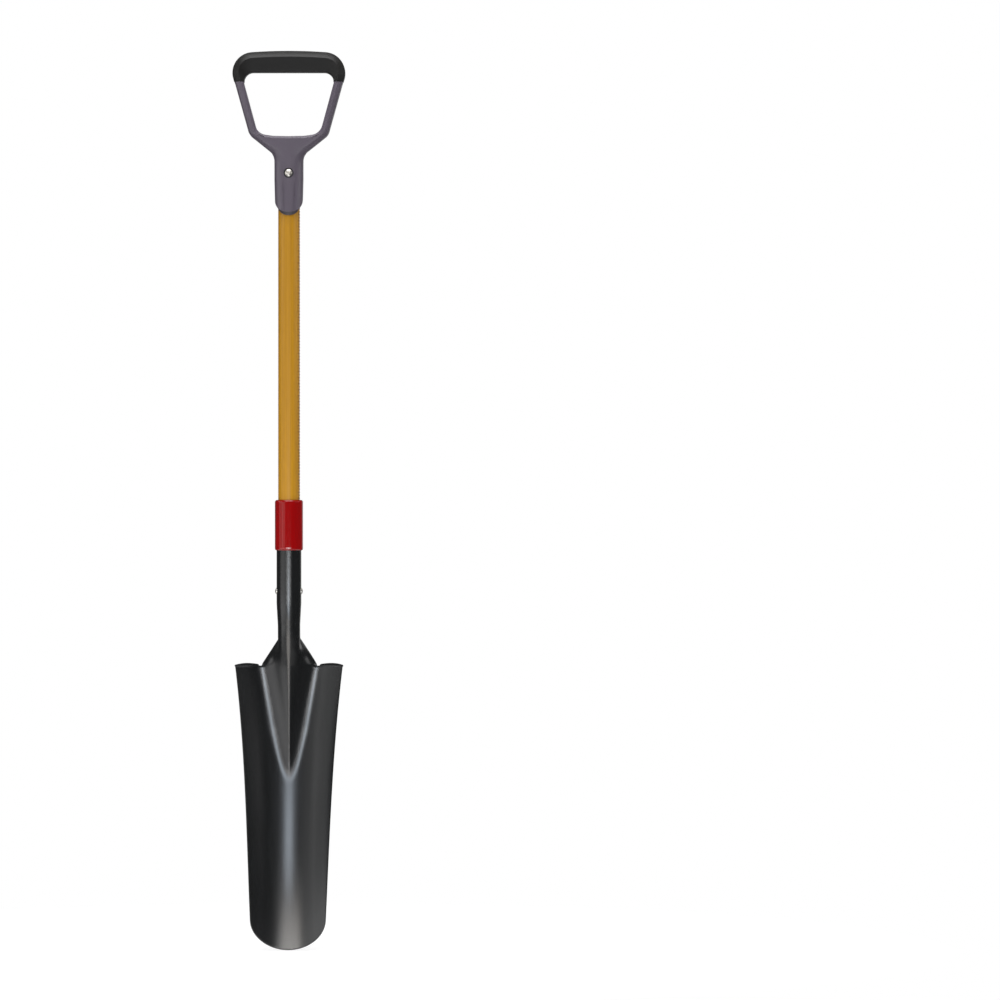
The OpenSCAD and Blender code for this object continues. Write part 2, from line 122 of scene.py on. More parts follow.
class SPADE_PG_head(bpy.types.PropertyGroup):
    """Sizes of the rolled steel head"""

    sheet: length("Sheet", "Thickness of the steel sheet", 0.002)
    rim: length("Rim", "Rounding of the sheet's edges", 0.0006)
    blade_len: length("Blade length", "From the tip to the steps", 0.384)
    step_w: length("Step width", "Width of the blade across the steps", 0.145)
    tip_w: length("Tip width", "Width that the sides would have at the tip", 0.098)
    step_spread: angle("Step spread", "Angle of each side at the steps", 6.9)
    tip_spread: angle("Tip spread", "Angle of each side at the tip", 2.7)
    tip_drop: length("Tip drop", "Height of the rounded end", 0.041)
    scoop_top: length("Scoop, top", "Depth of the scoop at the steps", 0.027)
    scoop_mid: length("Scoop, middle", "Depth of the scoop half way down", 0.024)
    scoop_tip: length("Scoop, tip", "Depth of the scoop at the tip", 0.015)
    blade_set: length("Set", "How far the scoop lies behind the shaft at the steps", 0.025)
    tip_reach: length("Reach", "How far the tip lies in front of the shaft's axis", 0.031)
    top_lean: angle("Top lean", "Lean of the blade at the steps", 2.0)
    tip_lean: angle("Tip lean", "Lean of the blade at the tip", 5.6)
    lip_w: length("Lip width", "Width of each step's turned lip", 0.007)
    lip_rise: angle("Lip rise", "Angle at which the lip rises towards the back", 25.0)
    frog_len: length("Frog length", "Length of the raised frog below the steps", 0.152)
    frog_w: length("Frog width", "Width of the frog at the steps", 0.064)
    frog_end_w: length("Frog end", "Width of the frog where it runs out", 0.012)
    valley: length("Valley", "How far the valleys beside the frog are rounded to each side", 0.016)
    skirt_w: length("Skirt width", "Width of the flared skirt at the steps", 0.076)
    skirt_len: length("Skirt length", "Height over which the skirt opens", 0.056)
    skirt_kick: length("Skirt bulge", "How far the skirt's edges bulge to the back", 0.009)
    neck_len: length("Neck length", "From the steps to the straight socket", 0.086)
    neck_lean: angle("Neck lean", "Angle at which the neck leans back", 11.5)
    bend_r: length("Bend", "Radius of the neck's bend", 0.25)
    throat_d: length("Throat", "Outer diameter of the neck where it is narrowest", 0.0304)
    socket_len: length("Socket length", "Length of the straight socket", 0.12)
    socket_fit: length("Socket fit", "Gap all round between socket and shaft", 0.0002)
    seam_gap: length("Seam", "Width of the open seam at the back", 0.0032)
    shaft_seat: length("Seat", "Height of the shaft's end above the socket's end", 0.004)


class SPADE_PG_shaft(bpy.types.PropertyGroup):
    """Sizes of the shaft, its strip of dots and its collar"""

    wall: length("Wall", "Wall of the shaft", 0.0036)
    end_chamfer: length("End chamfer", "Chamfer on the shaft's ends", 0.0006)
    dot_d: length("Dot", "Diameter of a dot at its foot", 0.0023)
    dot_h: length("Dot height", "How far a dot stands out of the shaft", 0.0003)
    dot_row: length("Row pitch", "Distance between two rows of dots", 0.0041)
    dot_gap: length("Dot pitch", "Distance between two dots in a row", 0.0044)
    strip_turn: angle("Strip turn", "How far the strip faces from the side to the front", 10.0)
    collar_round: length("Collar rounding", "Rounding of the collar's ends", 0.003)
    collar_fit: length("Collar fit", "Gap between the collar and what it covers", 0.0001)
    collar_cover: length("Collar cover", "How far the collar covers the socket", 0.0485)


class SPADE_PG_grip(bpy.types.PropertyGroup):
    """Sizes of the D grip and its cushion"""

    open_top_w: length("Opening, top", "Width of the hand opening at its top", 0.1306)
    open_low_w: length("Opening, bottom", "Width of the hand opening at its bottom", 0.085)
    open_h: length("Opening height", "Height of the hand opening", 0.0875)
    open_sag: length("Sag", "How far the opening's lower edge sags", 0.0035)
    open_corner_r: length("Upper corners", "Radius of the opening's upper corners", 0.013)
    open_heel_r: length("Lower corners", "Radius of the opening's lower corners", 0.017)
    arm_w: length("Arm, top", "Thickness of the arms at their upper ends", 0.0116)
    arm_low_w: length("Arm, bottom", "Thickness of the arms at their lower ends", 0.011)
    depth: length("Depth", "Depth of the grip from front to back", 0.033)
    outer_round: length("Outer rounding", "Rounding of the grip's outer edges", 0.0072)
    inner_round: length("Opening bevel", "Bevel along the opening's edges", 0.0032)
    bar_h: length("Crossbar", "Height of the crossbar", 0.028)
    bar_crown: length("Crown", "How far the crossbar falls to its corners", 0.003)
    bar_corner_r: length("Crossbar corners", "Radius of the crossbar's corners", 0.0275)
    shoulder_r: length("Shoulder radius", "Radius where the arms turn into the shoulders", 0.015)
    shoulder_slope: angle("Shoulder slope", "Slope of the shoulders", 38.7)
    shoulder_drop: length("Shoulder drop", "From the opening down to the neck", 0.025)
    neck_corner_r: length("Neck corner", "Radius where the shoulders meet the neck", 0.018)
    web_h: length("Web", "From the shaft's end to the opening", 0.032)
    neck_w: length("Neck width", "Width of the neck", 0.0395)
    neck_d: length("Neck depth", "Depth of the neck", 0.0338)
    end_w: length("Skirt width", "Width of the skirt at its lower end", 0.036)
    end_d: length("Skirt depth", "Depth of the skirt at its lower end", 0.0386)
    cover: length("Cover", "How far the skirt covers the shaft", 0.0575)
    cut: angle("Slant", "Angle of the skirt's lower end", 44.0)
    end_rim: length("End rim", "Height of the rim that draws in at the skirt's lower end", 0.0044)
    end_draw: length("End draw", "How far the rim draws in at the end", 0.0036)
    recess_d: length("Recess", "Diameter of the round recess for the screw", 0.0134)
    recess: length("Recess depth", "Depth of the recess for the screw", 0.0013)
    proud: length("Cushion", "How far the cushion stands proud of the arms", 0.0006)
    cushion_band: length("Cushion band", "Width of the cushion's slanting outer band", 0.0085)
    cushion_edge: length("Cushion edge", "Rounding of the cushion's edges at the opening", 0.003)
    cushion_fall: share("Cushion fall", "How steeply its face falls back to the opening", 0.32)


class SPADE_PG_finish(bpy.types.PropertyGroup):
    """Colours and gloss of the finishes"""

    lacquer: colour("Lacquer", "Black lacquer on the steel head", "0f1011")
    lacquer_rough: share("Lacquer roughness", "How dull the lacquer is", 0.26)
    zinc: colour("Zinc", "Bright plating of rivet and screw", "d6d2ca")
    zinc_rough: share("Zinc roughness", "How dull the plating is", 0.39)
    collar: colour("Collar", "Red plastic of the collar", "880103")
    collar_rough: share("Collar roughness", "How dull the collar is", 0.05)
    amber: colour("Fibreglass", "Amber of the shaft", "b68318")
    amber_dark: colour("Fibreglass streaks", "Darker streaks along the shaft", "a07011")
    amber_rough: share("Shaft roughness", "How dull the shaft is", 0.36)
    dots: colour("Dots", "Dots of the anti-slip strip", "6e430d")
    dots_rough: share("Dot roughness", "How dull the dots are", 0.575)
    wood: colour("Plugs", "Turned wood of the plugs", "caa872")
    wood_rough: share("Plug roughness", "How dull the plugs are", 0.675)
    grip: colour("Grip", "Grey plastic of the grip", "534c57")
    grip_rough: share("Grip roughness", "How dull the grip is", 0.4)
    rubber: colour("Cushion", "Black rubber of the cushion", "141312")
    rubber_rough: share("Cushion roughness", "How dull the cushion is", 0.52)


class SPADE_PG_studio(bpy.types.PropertyGroup):
    """Camera and lights"""

    distance: length("Camera distance", "From the shaft's axis to the camera", 8.0)
    width: length("View width", "Width of the view at the shaft's axis", 1.36)
    aside: length("Camera aside", "How far the camera stands to the right", 0.287)
    height: length("Camera height", "Height of the camera above the tip", 0.61)
    key: amount("Key", "Radiance of the large light at the front left", 0.5)
    wash: amount("Wash", "Radiance of the light on the left side", 0.4)
    low_wash: amount("Low wash", "Radiance of the low light on the left side", 1.5)
    high_wash: amount("High wash", "Radiance of the high lights on both sides", 1.4)
    front: amount("Front light", "Radiance of the wide low light under the camera", 13.0)
    streak: amount("Streak", "Radiance of the narrow light in front of the blade", 9.0)
    neck: amount("Neck light", "Radiance of the low light in front of the neck", 3.9)
    back: amount("Back light", "Radiance of the light behind the spade", 0.5)
    overhead: amount("Overhead", "Radiance of the light above the grip", 5.0)
    cool: colour("Cool light", "Colour of the light in front of the blade", "e6f2ff")
    warm: colour("Warm light", "Colour of the light in front of the neck", "fff9f2")
    fill_front: amount("Fill, front", "Even light from the front", 0.1)
    fill_side: amount("Fill, sides", "Even light from the sides", 0.1)
    fill_back: amount("Fill, back", "Even light from the back", 1.3)
    dim: amount("Dim", "What reflections see, except straight behind the spade", 0.08)


class SPADE_PG_spade(bpy.types.PropertyGroup):
    """All values of the spade"""

    head: bpy.props.PointerProperty(type=SPADE_PG_head, name="Head", description="Steel head")
    shaft: bpy.props.PointerProperty(type=SPADE_PG_shaft, name="Shaft", description="Shaft")
    grip: bpy.props.PointerProperty(type=SPADE_PG_grip, name="Grip", description="D grip")
    finish: bpy.props.PointerProperty(type=SPADE_PG_finish, name="Finish", description="Finishes")
    studio: bpy.props.PointerProperty(type=SPADE_PG_studio, name="Studio", description="Studio")


# Small helpers

# Steps of a full turn, and the distances below which points count as one, in a piece and on a cut
TURN_STEPS = 128
MERGE = 1e-6
CUT_MERGE = 1e-7


def mix(a, b, t):
    """The value at share t of the way from a to b"""
    return a + (b - a) * t


def clamp(t):
    """The nearest value between 0 and 1"""
    return max(0.0, min(1.0, t))


def ease(t):
    """A smooth run from 0 to 1, level at both ends"""
    t = clamp(t)
    return t * t * (3 - 2 * t)


def everything(bm):
    """All points, edges and faces of a mesh"""
    return bm.verts[:] + bm.edges[:] + bm.faces[:]


def close_up(bm, dist):
    """Merges doubled points and turns the faces outwards"""
    bmesh.ops.remove_doubles(bm, verts=bm.verts[:], dist=dist)
    bmesh.ops.recalc_face_normals(bm, faces=bm.faces[:])


def make_piece(name, bm):
    """A new object at the origin that holds the mesh"""
    mesh = bpy.data.meshes.new(name)
    bm.to_mesh(mesh)
    bm.free()
    piece = bpy.data.objects.new(name, mesh)
    bpy.context.scene.collection.objects.link(piece)
    return piece


def apply_modifiers(piece):
    """Puts the mesh that the modifiers make in the place of the piece's own"""
    graph = bpy.context.evaluated_depsgraph_get()
    made = bpy.data.meshes.new_from_object(piece.evaluated_get(graph))
    piece.modifiers.clear()
    old = piece.data
    piece.data = made
    bpy.data.meshes.remove(old)
    made.name = piece.name
    return made


def finish_piece(piece, material, slot, *nodes, sharp):
    """Shades a piece, with edges past sharp degrees kept, and puts it in the place of its CAD nodes"""
    made = apply_modifiers(piece)
    made.shade_smooth()
    made.set_sharp_from_angle(angle=math.radians(sharp))
    made.materials.clear()
    made.materials.append(material)
    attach(piece, "root")
    if nodes:
        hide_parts(*nodes)


def turned(profile):
    """Spins a closed profile of (radius, height) pairs round the shaft's axis, as on a lathe"""
    bm = bmesh.new()
    ring = [bm.verts.new((r, 0, h)) for r, h in profile]
    edges = [bm.edges.new((a, b)) for a, b in zip(ring, ring[1:] + ring[:1])]
    bmesh.ops.spin(bm, geom=ring + edges, cent=(0, 0, 0), axis=(0, 0, 1), angle=2 * math.pi,
                   steps=TURN_STEPS, use_merge=True)
    close_up(bm, MERGE)
    return bm


def arc(cx, cy, r, start, end, steps):
    """Points on a round edge, from one angle to another in degrees"""
    turns = [math.radians(mix(start, end, i / steps)) for i in range(steps + 1)]
    return [(cx + r * math.cos(a), cy + r * math.sin(a)) for a in turns]


# Shader helpers


def feed(tree, socket, what):
    """Gives an input a value, or links another node's output to it"""
    if isinstance(what, bpy.types.NodeSocket):
        tree.links.new(what, socket)
    else:
        socket.default_value = what


def add_node(tree, kind, inputs=None, **settings):
    """A shader node with its settings, and with values or links for its inputs"""
    node = tree.nodes.new("ShaderNode" + kind)
    for name, value in settings.items():
        setattr(node, name, value)
    for label, what in (inputs or {}).items():
        feed(tree, node.inputs[label], what)
    return node


def sight_rays(tree):
    """Masks of what the camera sees directly, and of what it sees in a mirror or through glass"""
    rays = add_node(tree, "LightPath").outputs
    mirror = add_node(tree, "Math", {0: rays["Is Glossy Ray"], 1: rays["Is Transmission Ray"]},
                      operation="MAXIMUM")
    return rays["Is Camera Ray"], mirror.outputs["Value"]


def new_material(name):
    """An empty node material with its Principled shader"""
    material = bpy.data.materials.new(name)
    material.use_nodes = True
    tree = material.node_tree
    return material, tree, tree.nodes["Principled BSDF"]


def group_tree(name, inputs, outputs):
    """A shader node group with named sockets: its tree, what comes in and what goes out"""
    tree = bpy.data.node_groups.new(name, "ShaderNodeTree")
    for label, kind, default in inputs:
        socket = tree.interface.new_socket(label, in_out="INPUT", socket_type=kind)
        socket.default_value = default
    for label in outputs:
        tree.interface.new_socket(label, in_out="OUTPUT", socket_type="NodeSocketFloat")
    return tree, tree.nodes.new("NodeGroupInput").outputs, tree.nodes.new("NodeGroupOutput").inputs


def grain_group():
    """Fine moulded grain: a height for the bump and a mask of its pits"""
    name = "moulded grain"
    if name in bpy.data.node_groups:
        return bpy.data.node_groups[name]
    tree, given, out = group_tree(
        name,
        [("Vector", "NodeSocketVector", (0, 0, 0)), ("Scale", "NodeSocketFloat", 900.0),
         ("Softness", "NodeSocketFloat", 0.5)],
        ["Height", "Pits"])
    where = {"Vector": given["Vector"], "Scale": given["Scale"]}
    cells = add_node(tree, "TexVoronoi", where, feature="SMOOTH_F1").outputs["Distance"]
    noise = add_node(tree, "TexNoise", {**where, "Detail": 3.0}).outputs["Fac"]
    blend = add_node(tree, "Mix", {"Factor": given["Softness"], "A": cells, "B": noise},
                     data_type="FLOAT")
    height = blend.outputs["Result"]
    pits = add_node(tree, "MapRange", {"Value": height, "From Min": 0.35, "From Max": 0.75})
    feed(tree, out["Height"], height)
    feed(tree, out["Pits"], pits.outputs["Result"])
    return tree


def mottle_group():
    """Soft cloudy change over a surface, centred on 0.5, stretched along one axis if wished"""
    name = "soft mottle"
    if name in bpy.data.node_groups:
        return bpy.data.node_groups[name]
    tree, given, out = group_tree(
        name,
        [("Vector", "NodeSocketVector", (0, 0, 0)), ("Stretch", "NodeSocketVector", (1, 1, 1)),
         ("Scale", "NodeSocketFloat", 20.0), ("Contrast", "NodeSocketFloat", 1.5)],
        ["Mask"])
    centre = 0.5
    stretch = add_node(tree, "VectorMath", {0: given["Vector"], 1: given["Stretch"]},
                       operation="MULTIPLY")
    noise = add_node(tree, "TexNoise", {"Vector": stretch.outputs["Vector"],
                                        "Scale": given["Scale"], "Detail": 4.0})
    shift = add_node(tree, "Math", {0: given["Contrast"], 1: -centre, 2: centre},
                     operation="MULTIPLY_ADD")
    spread = add_node(tree, "Math", {0: noise.outputs["Fac"], 1: given["Contrast"],
                                     2: shift.outputs["Value"]}, operation="MULTIPLY_ADD")
    hold = add_node(tree, "Clamp", {"Value": spread.outputs["Value"]})
    feed(tree, out["Mask"], hold.outputs["Result"])
    return tree


def tint(rgb, factor=1.0):
    """A colour for a socket, made lighter or darker if wished"""
    return [min(1.0, c * factor) for c in rgb] + [1.0]


class Finish:
    """Builds one procedural material from the shared groups"""

    # Width of a painted mask's edge
    SOFT_EDGE = 0.0004

    def __init__(self, name):
        self.material, self.tree, self.shader = new_material(name)
        self.place = add_node(self.tree, "TexCoord").outputs["Object"]

    def put(self, label, what):
        """Gives the Principled shader a value or a link"""
        feed(self.tree, self.shader.inputs[label], what)

    def mottle(self, scale, contrast, stretch=(1, 1, 1)):
        """Mask of a soft mottle"""
        values = {"Vector": self.place, "Scale": scale, "Contrast": contrast, "Stretch": stretch}
        return add_node(self.tree, "Group", values, node_tree=mottle_group()).outputs["Mask"]

    def grain(self, scale, softness):
        """Height and pits of a moulded grain"""
        values = {"Vector": self.place, "Scale": scale, "Softness": softness}
        made = add_node(self.tree, "Group", values, node_tree=grain_group()).outputs
        return made["Height"], made["Pits"]

    def ramp(self, value, start, end):
        """Mask that goes from 0 to 1 as a value goes from start to end"""
        values = {"Value": value, "From Min": start, "From Max": end}
        return add_node(self.tree, "MapRange", values).outputs["Result"]

    def near(self, spot, reach):
        """Mask of what lies within reach of a spot, with a soft edge"""
        away = add_node(self.tree, "VectorMath", {0: self.place, 1: spot}, operation="DISTANCE")
        return self.ramp(away.outputs["Value"], reach + self.SOFT_EDGE, reach)

    def beyond(self, spot, way):
        """Mask of what lies beyond a plane, with a soft edge"""
        run = add_node(self.tree, "VectorMath", {0: self.place, 1: way}, operation="DOT_PRODUCT")
        start = spot.dot(way)
        return self.ramp(run.outputs["Value"], start, start + self.SOFT_EDGE)

    def colours(self, mask, first, second):
        """Base colour from a first colour or link to a second one by a mask"""
        blend = add_node(self.tree, "Mix", {"Factor": mask, "A": first, "B": second},
                         data_type="RGBA")
        self.put("Base Color", blend.outputs["Result"])

    def shades(self, mask, rgb, dark=1.0, light=1.0):
        """Base colour between two shades of one colour by a mask"""
        self.colours(mask, tint(rgb, dark), tint(rgb, light))

    def cover(self, mask, second):
        """Lays another colour over the base colour by a mask"""
        self.colours(mask, self.shader.inputs["Base Color"].links[0].from_socket, second)

    def roughness(self, mask, middle, low, high):
        """Roughness by a mask, from low to high beside a middle value"""
        values = {"Value": mask, "To Min": middle + low, "To Max": middle + high}
        self.put("Roughness", add_node(self.tree, "MapRange", values).outputs["Result"])

    def bump(self, height, strength, depth):
        """Bump from a height, its depth in metres"""
        values = {"Height": height, "Strength": strength, "Distance": depth}
        self.put("Normal", add_node(self.tree, "Bump", values).outputs["Normal"])


# Finishes


def lacquer_finish(look):
    """Semi-gloss black lacquer with a slight orange peel"""
    made = Finish("head_lacquer")
    cloud = made.mottle(scale=1.0, contrast=1.2, stretch=(120, 50, 12))
    peel = made.mottle(scale=420.0, contrast=1.0)
    made.shades(cloud, look.lacquer, dark=0.7, light=1.3)
    made.roughness(cloud, look.lacquer_rough, low=-0.02, high=0.02)
    made.bump(peel, strength=0.25, depth=0.00006)
    return made.material


def zinc_finish(look):
    """Bright plated steel"""
    made = Finish("fastener_steel")
    made.put("Metallic", 1.0)
    cloud = made.mottle(scale=500.0, contrast=1.4)
    made.shades(cloud, look.zinc, dark=0.88)
    made.roughness(cloud, look.zinc_rough, low=-0.05, high=0.05)
    made.bump(cloud, strength=0.2, depth=0.00004)
    return made.material


def collar_finish(look):
    """Glossy red plastic"""
    made = Finish("collar_plastic")
    cloud = made.mottle(scale=60.0, contrast=1.2, stretch=(1, 1, 0.2))
    made.shades(cloud, look.collar, dark=0.94, light=1.05)
    made.roughness(cloud, look.collar_rough, low=-0.01, high=0.02)
    return made.material


def fibreglass_finish(look):
    """Amber fibreglass with faint streaks along the fibres"""
    made = Finish("shaft_fibreglass")
    fibres = made.mottle(scale=1.0, contrast=1.8, stretch=(900, 900, 7))
    made.colours(fibres, tint(look.amber_dark), tint(look.amber))
    made.roughness(fibres, look.amber_rough, low=0.04, high=-0.04)
    made.bump(fibres, strength=0.2, depth=0.00005)
    made.put("Specular IOR Level", 0.3)
    return made.material


def dot_finish(look):
    """Dark brown dots of the anti-slip strip"""
    made = Finish("dot_print")
    cloud = made.mottle(scale=700.0, contrast=1.5)
    made.shades(cloud, look.dots, dark=0.7, light=1.2)
    made.roughness(cloud, look.dots_rough, low=-0.075, high=0.075)
    return made.material


def wood_finish(look):
    """Plain turned wood with grain along the shaft"""
    made = Finish("plug_wood")
    grain = made.mottle(scale=1.0, contrast=2.0, stretch=(420, 420, 12))
    made.shades(grain, look.wood, dark=0.7)
    made.roughness(grain, look.wood_rough, low=0.075, high=-0.075)
    made.bump(grain, strength=0.4, depth=0.0002)
    return made.material


def grip_finish(look, screw, shaded_recess_r, rim, down):
    """Finely textured grey plastic, with painted shade in the recess round the screw and along the
    skirt's rim
    """
    made = Finish("grip_plastic")
    height, pits = made.grain(scale=1100.0, softness=0.5)
    cloud = made.mottle(scale=30.0, contrast=1.0)
    made.shades(cloud, look.grip, dark=0.92, light=1.06)
    # Painted shade: the base colour is darkened within the recess round the screw
    made.cover(made.near(screw, shaded_recess_r), tint(look.grip, factor=0.15))
    # Painted shade: a darker band along the skirt's drawn-in rim, which faces downwards
    made.cover(made.beyond(rim, down), tint(look.grip, factor=0.4))
    made.roughness(pits, look.grip_rough, low=-0.05, high=0.08)
    made.bump(height, strength=0.5, depth=0.00012)
    return made.material


def rubber_finish(look):
    """Soft black rubber with a dull bloom"""
    made = Finish("cushion_rubber")
    height, pits = made.grain(scale=1500.0, softness=0.7)
    cloud = made.mottle(scale=40.0, contrast=1.3)
    made.shades(cloud, look.rubber, dark=0.8, light=1.2)
    made.roughness(pits, look.rubber_rough, low=-0.04, high=0.08)
    made.bump(height, strength=0.4, depth=0.0001)
    made.put("Specular IOR Level", 0.3)
    made.put("Sheen Weight", 0.08)
    made.put("Sheen Roughness", 0.4)
    return made.material


# Head


def glide(a, b, slope_a, slope_b, t):
    """Smooth run from a to b with the slopes at both ends"""
    return ((2 * t ** 3 - 3 * t ** 2 + 1) * a + (t ** 3 - 2 * t ** 2 + t) * slope_a
            + (3 * t ** 2 - 2 * t ** 3) * b + (t ** 3 - t ** 2) * slope_b)


def soft(u, k):
    """The positive part of u, with its corner softened"""
    if u >= k:
        return u
    return 0.0 if u <= -k else (u + k) ** 2 / (4 * k)


class HeadSheet:
    """Middle of the head's sheet: heights count from the tip, depths from the shaft's axis"""

    # Rounding of the frog's crest at the steps and where it runs out, as shares of its half width
    CREST_TOP = 0.3
    CREST_END = 0.06
    # The most that a valley may take of the frog's half width
    VALLEY_MOST = 0.9
    # How softly the frog runs out, as a share of its length
    RUN_OUT_SOFT = 0.05
    # How softly the skirt starts to open, and how much later and rounder it opens in the middle
    FLARE_SOFT = 0.03
    FLARE_LAG = 0.62
    FLARE_EASE = 1.6
    # Highest value of the curve flare ** 2 * (1 - flare), by which the skirt's edges bulge
    BULGE_PEAK = 4 / 27
    # Width of a lip at its ends, as a share of its width in the middle
    LIP_END = 0.3

    def __init__(self, s):
        self.s = s
        self.step_z = s.blade_len
        self.open_z = self.step_z + s.skirt_len
        self.socket_z = self.step_z + s.neck_len
        self.socket_top = self.socket_z + s.socket_len
        self.tube_r = SHAFT_R + s.socket_fit + s.sheet / 2
        self.throat_r = (s.throat_d - s.sheet) / 2
        self.seam = math.pi - math.asin(s.seam_gap / 2 / self.tube_r)
        self.edge_u = s.skirt_w / s.step_w
        self.frog_h = self.spine_y(self.step_z) - (self.neck_y(self.step_z) - self.throat_r)

    def half_w(self, z):
        """Half of the blade's width at a height"""
        s = self.s
        return glide(s.step_w / 2, s.tip_w / 2, -math.tan(s.step_spread) * s.blade_len,
                     -math.tan(s.tip_spread) * s.blade_len, 1 - z / s.blade_len)

    def spine_y(self, z):
        """Depth of the scoop's middle at a height"""
        s = self.s
        return glide(s.blade_set, -s.tip_reach, -math.tan(s.top_lean) * s.blade_len,
                     -math.tan(s.tip_lean) * s.blade_len, 1 - z / s.blade_len)

    def scoop_r(self, z):
        """Radius of the scoop at a height, from its depths at the steps, the middle and the tip"""
        s = self.s
        t = 1 - z / s.blade_len
        deep = (s.scoop_top * (1 - t) * (1 - 2 * t) + s.scoop_mid * 4 * t * (1 - t)
                + s.scoop_tip * t * (2 * t - 1))
        return (self.half_w(z) ** 2 + deep ** 2) / (2 * deep)

    def frog(self, x, z):
        """How far the frog stands out of the scoop"""
        s = self.s
        t = (z - self.step_z) / s.frog_len + 1
        half = mix(s.frog_end_w, s.frog_w, max(t, 0)) / 2
        crest = mix(self.CREST_END, self.CREST_TOP, clamp(t) ** 2)
        valley = min(self.VALLEY_MOST, s.valley / half)
        roof = soft(1 - math.hypot(x / half, crest), valley) / soft(1 - crest, valley)
        return self.frog_h * soft(t, self.RUN_OUT_SOFT) * roof

    def blade_y(self, x, z):
        """Depth of the blade with its frog"""
        r = self.scoop_r(z)
        return self.spine_y(z) - r + math.sqrt(r * r - x * x) - self.frog(x, z)

    def neck_y(self, z):
        """Depth of the neck's axis, which bends and then leans straight back"""
        s = self.s
        drop = self.socket_z - z
        bend = s.bend_r * math.sin(s.neck_lean)
        if drop <= 0:
            return 0.0
        if drop < bend:
            return s.bend_r - math.sqrt(s.bend_r ** 2 - drop ** 2)
        return s.bend_r * (1 - math.cos(s.neck_lean)) + (drop - bend) * math.tan(s.neck_lean)

    def blade_point(self, u, t):
        """A point of the blade: u runs from side to side, t from the steps to the rounded end"""
        z = mix(self.step_z, self.s.tip_drop * (1 - math.sqrt(1 - u * u)), t)
        x = u * self.half_w(z)
        return Vector((x, self.blade_y(x, z), z))

    def neck_point(self, p, z):
        """From the round tube to the blade's shape at the steps; p runs from edge to edge"""
        s = self.s
        edge = p ** 4
        r = mix(self.tube_r, self.throat_r, clamp((self.socket_z - z) / (s.neck_len - s.skirt_len)))
        late = self.FLARE_LAG * (1 - abs(p) ** 3)
        flare = soft(((self.open_z - z) / s.skirt_len - late) / (1 - late), self.FLARE_SOFT)
        flare = 1 - max(0, 1 - flare) ** mix(self.FLARE_EASE, 1, edge)
        turn = self.seam * p
        tube = Vector((r * math.sin(turn), self.neck_y(z) - r * math.cos(turn), z))
        x = p * s.skirt_w / 2
        lean = (self.neck_y(z) - self.neck_y(self.step_z)) * (1 - edge)
        at = tube.lerp(Vector((x, self.blade_y(x, self.step_z) + lean, z)), flare)
        at.y += s.skirt_kick * edge * flare ** 2 * (1 - flare) / self.BULGE_PEAK
        return at

    def lip_point(self, u, w):
        """A step's lip, turned to the back; it is widest in the middle"""
        s = self.s
        x = u * s.step_w / 2
        r = self.scoop_r(self.step_z)
        back = Vector((x, math.sqrt(r * r - x * x), 0)) / r
        lens = math.sin(math.pi * (abs(u) - self.edge_u) / (1 - self.edge_u))
        out = w * s.lip_w * mix(self.LIP_END, 1, lens)
        start = Vector((x, self.blade_y(x, self.step_z), self.step_z))
        return start + out * (math.cos(s.lip_rise) * back + Vector((0, 0, math.sin(s.lip_rise))))


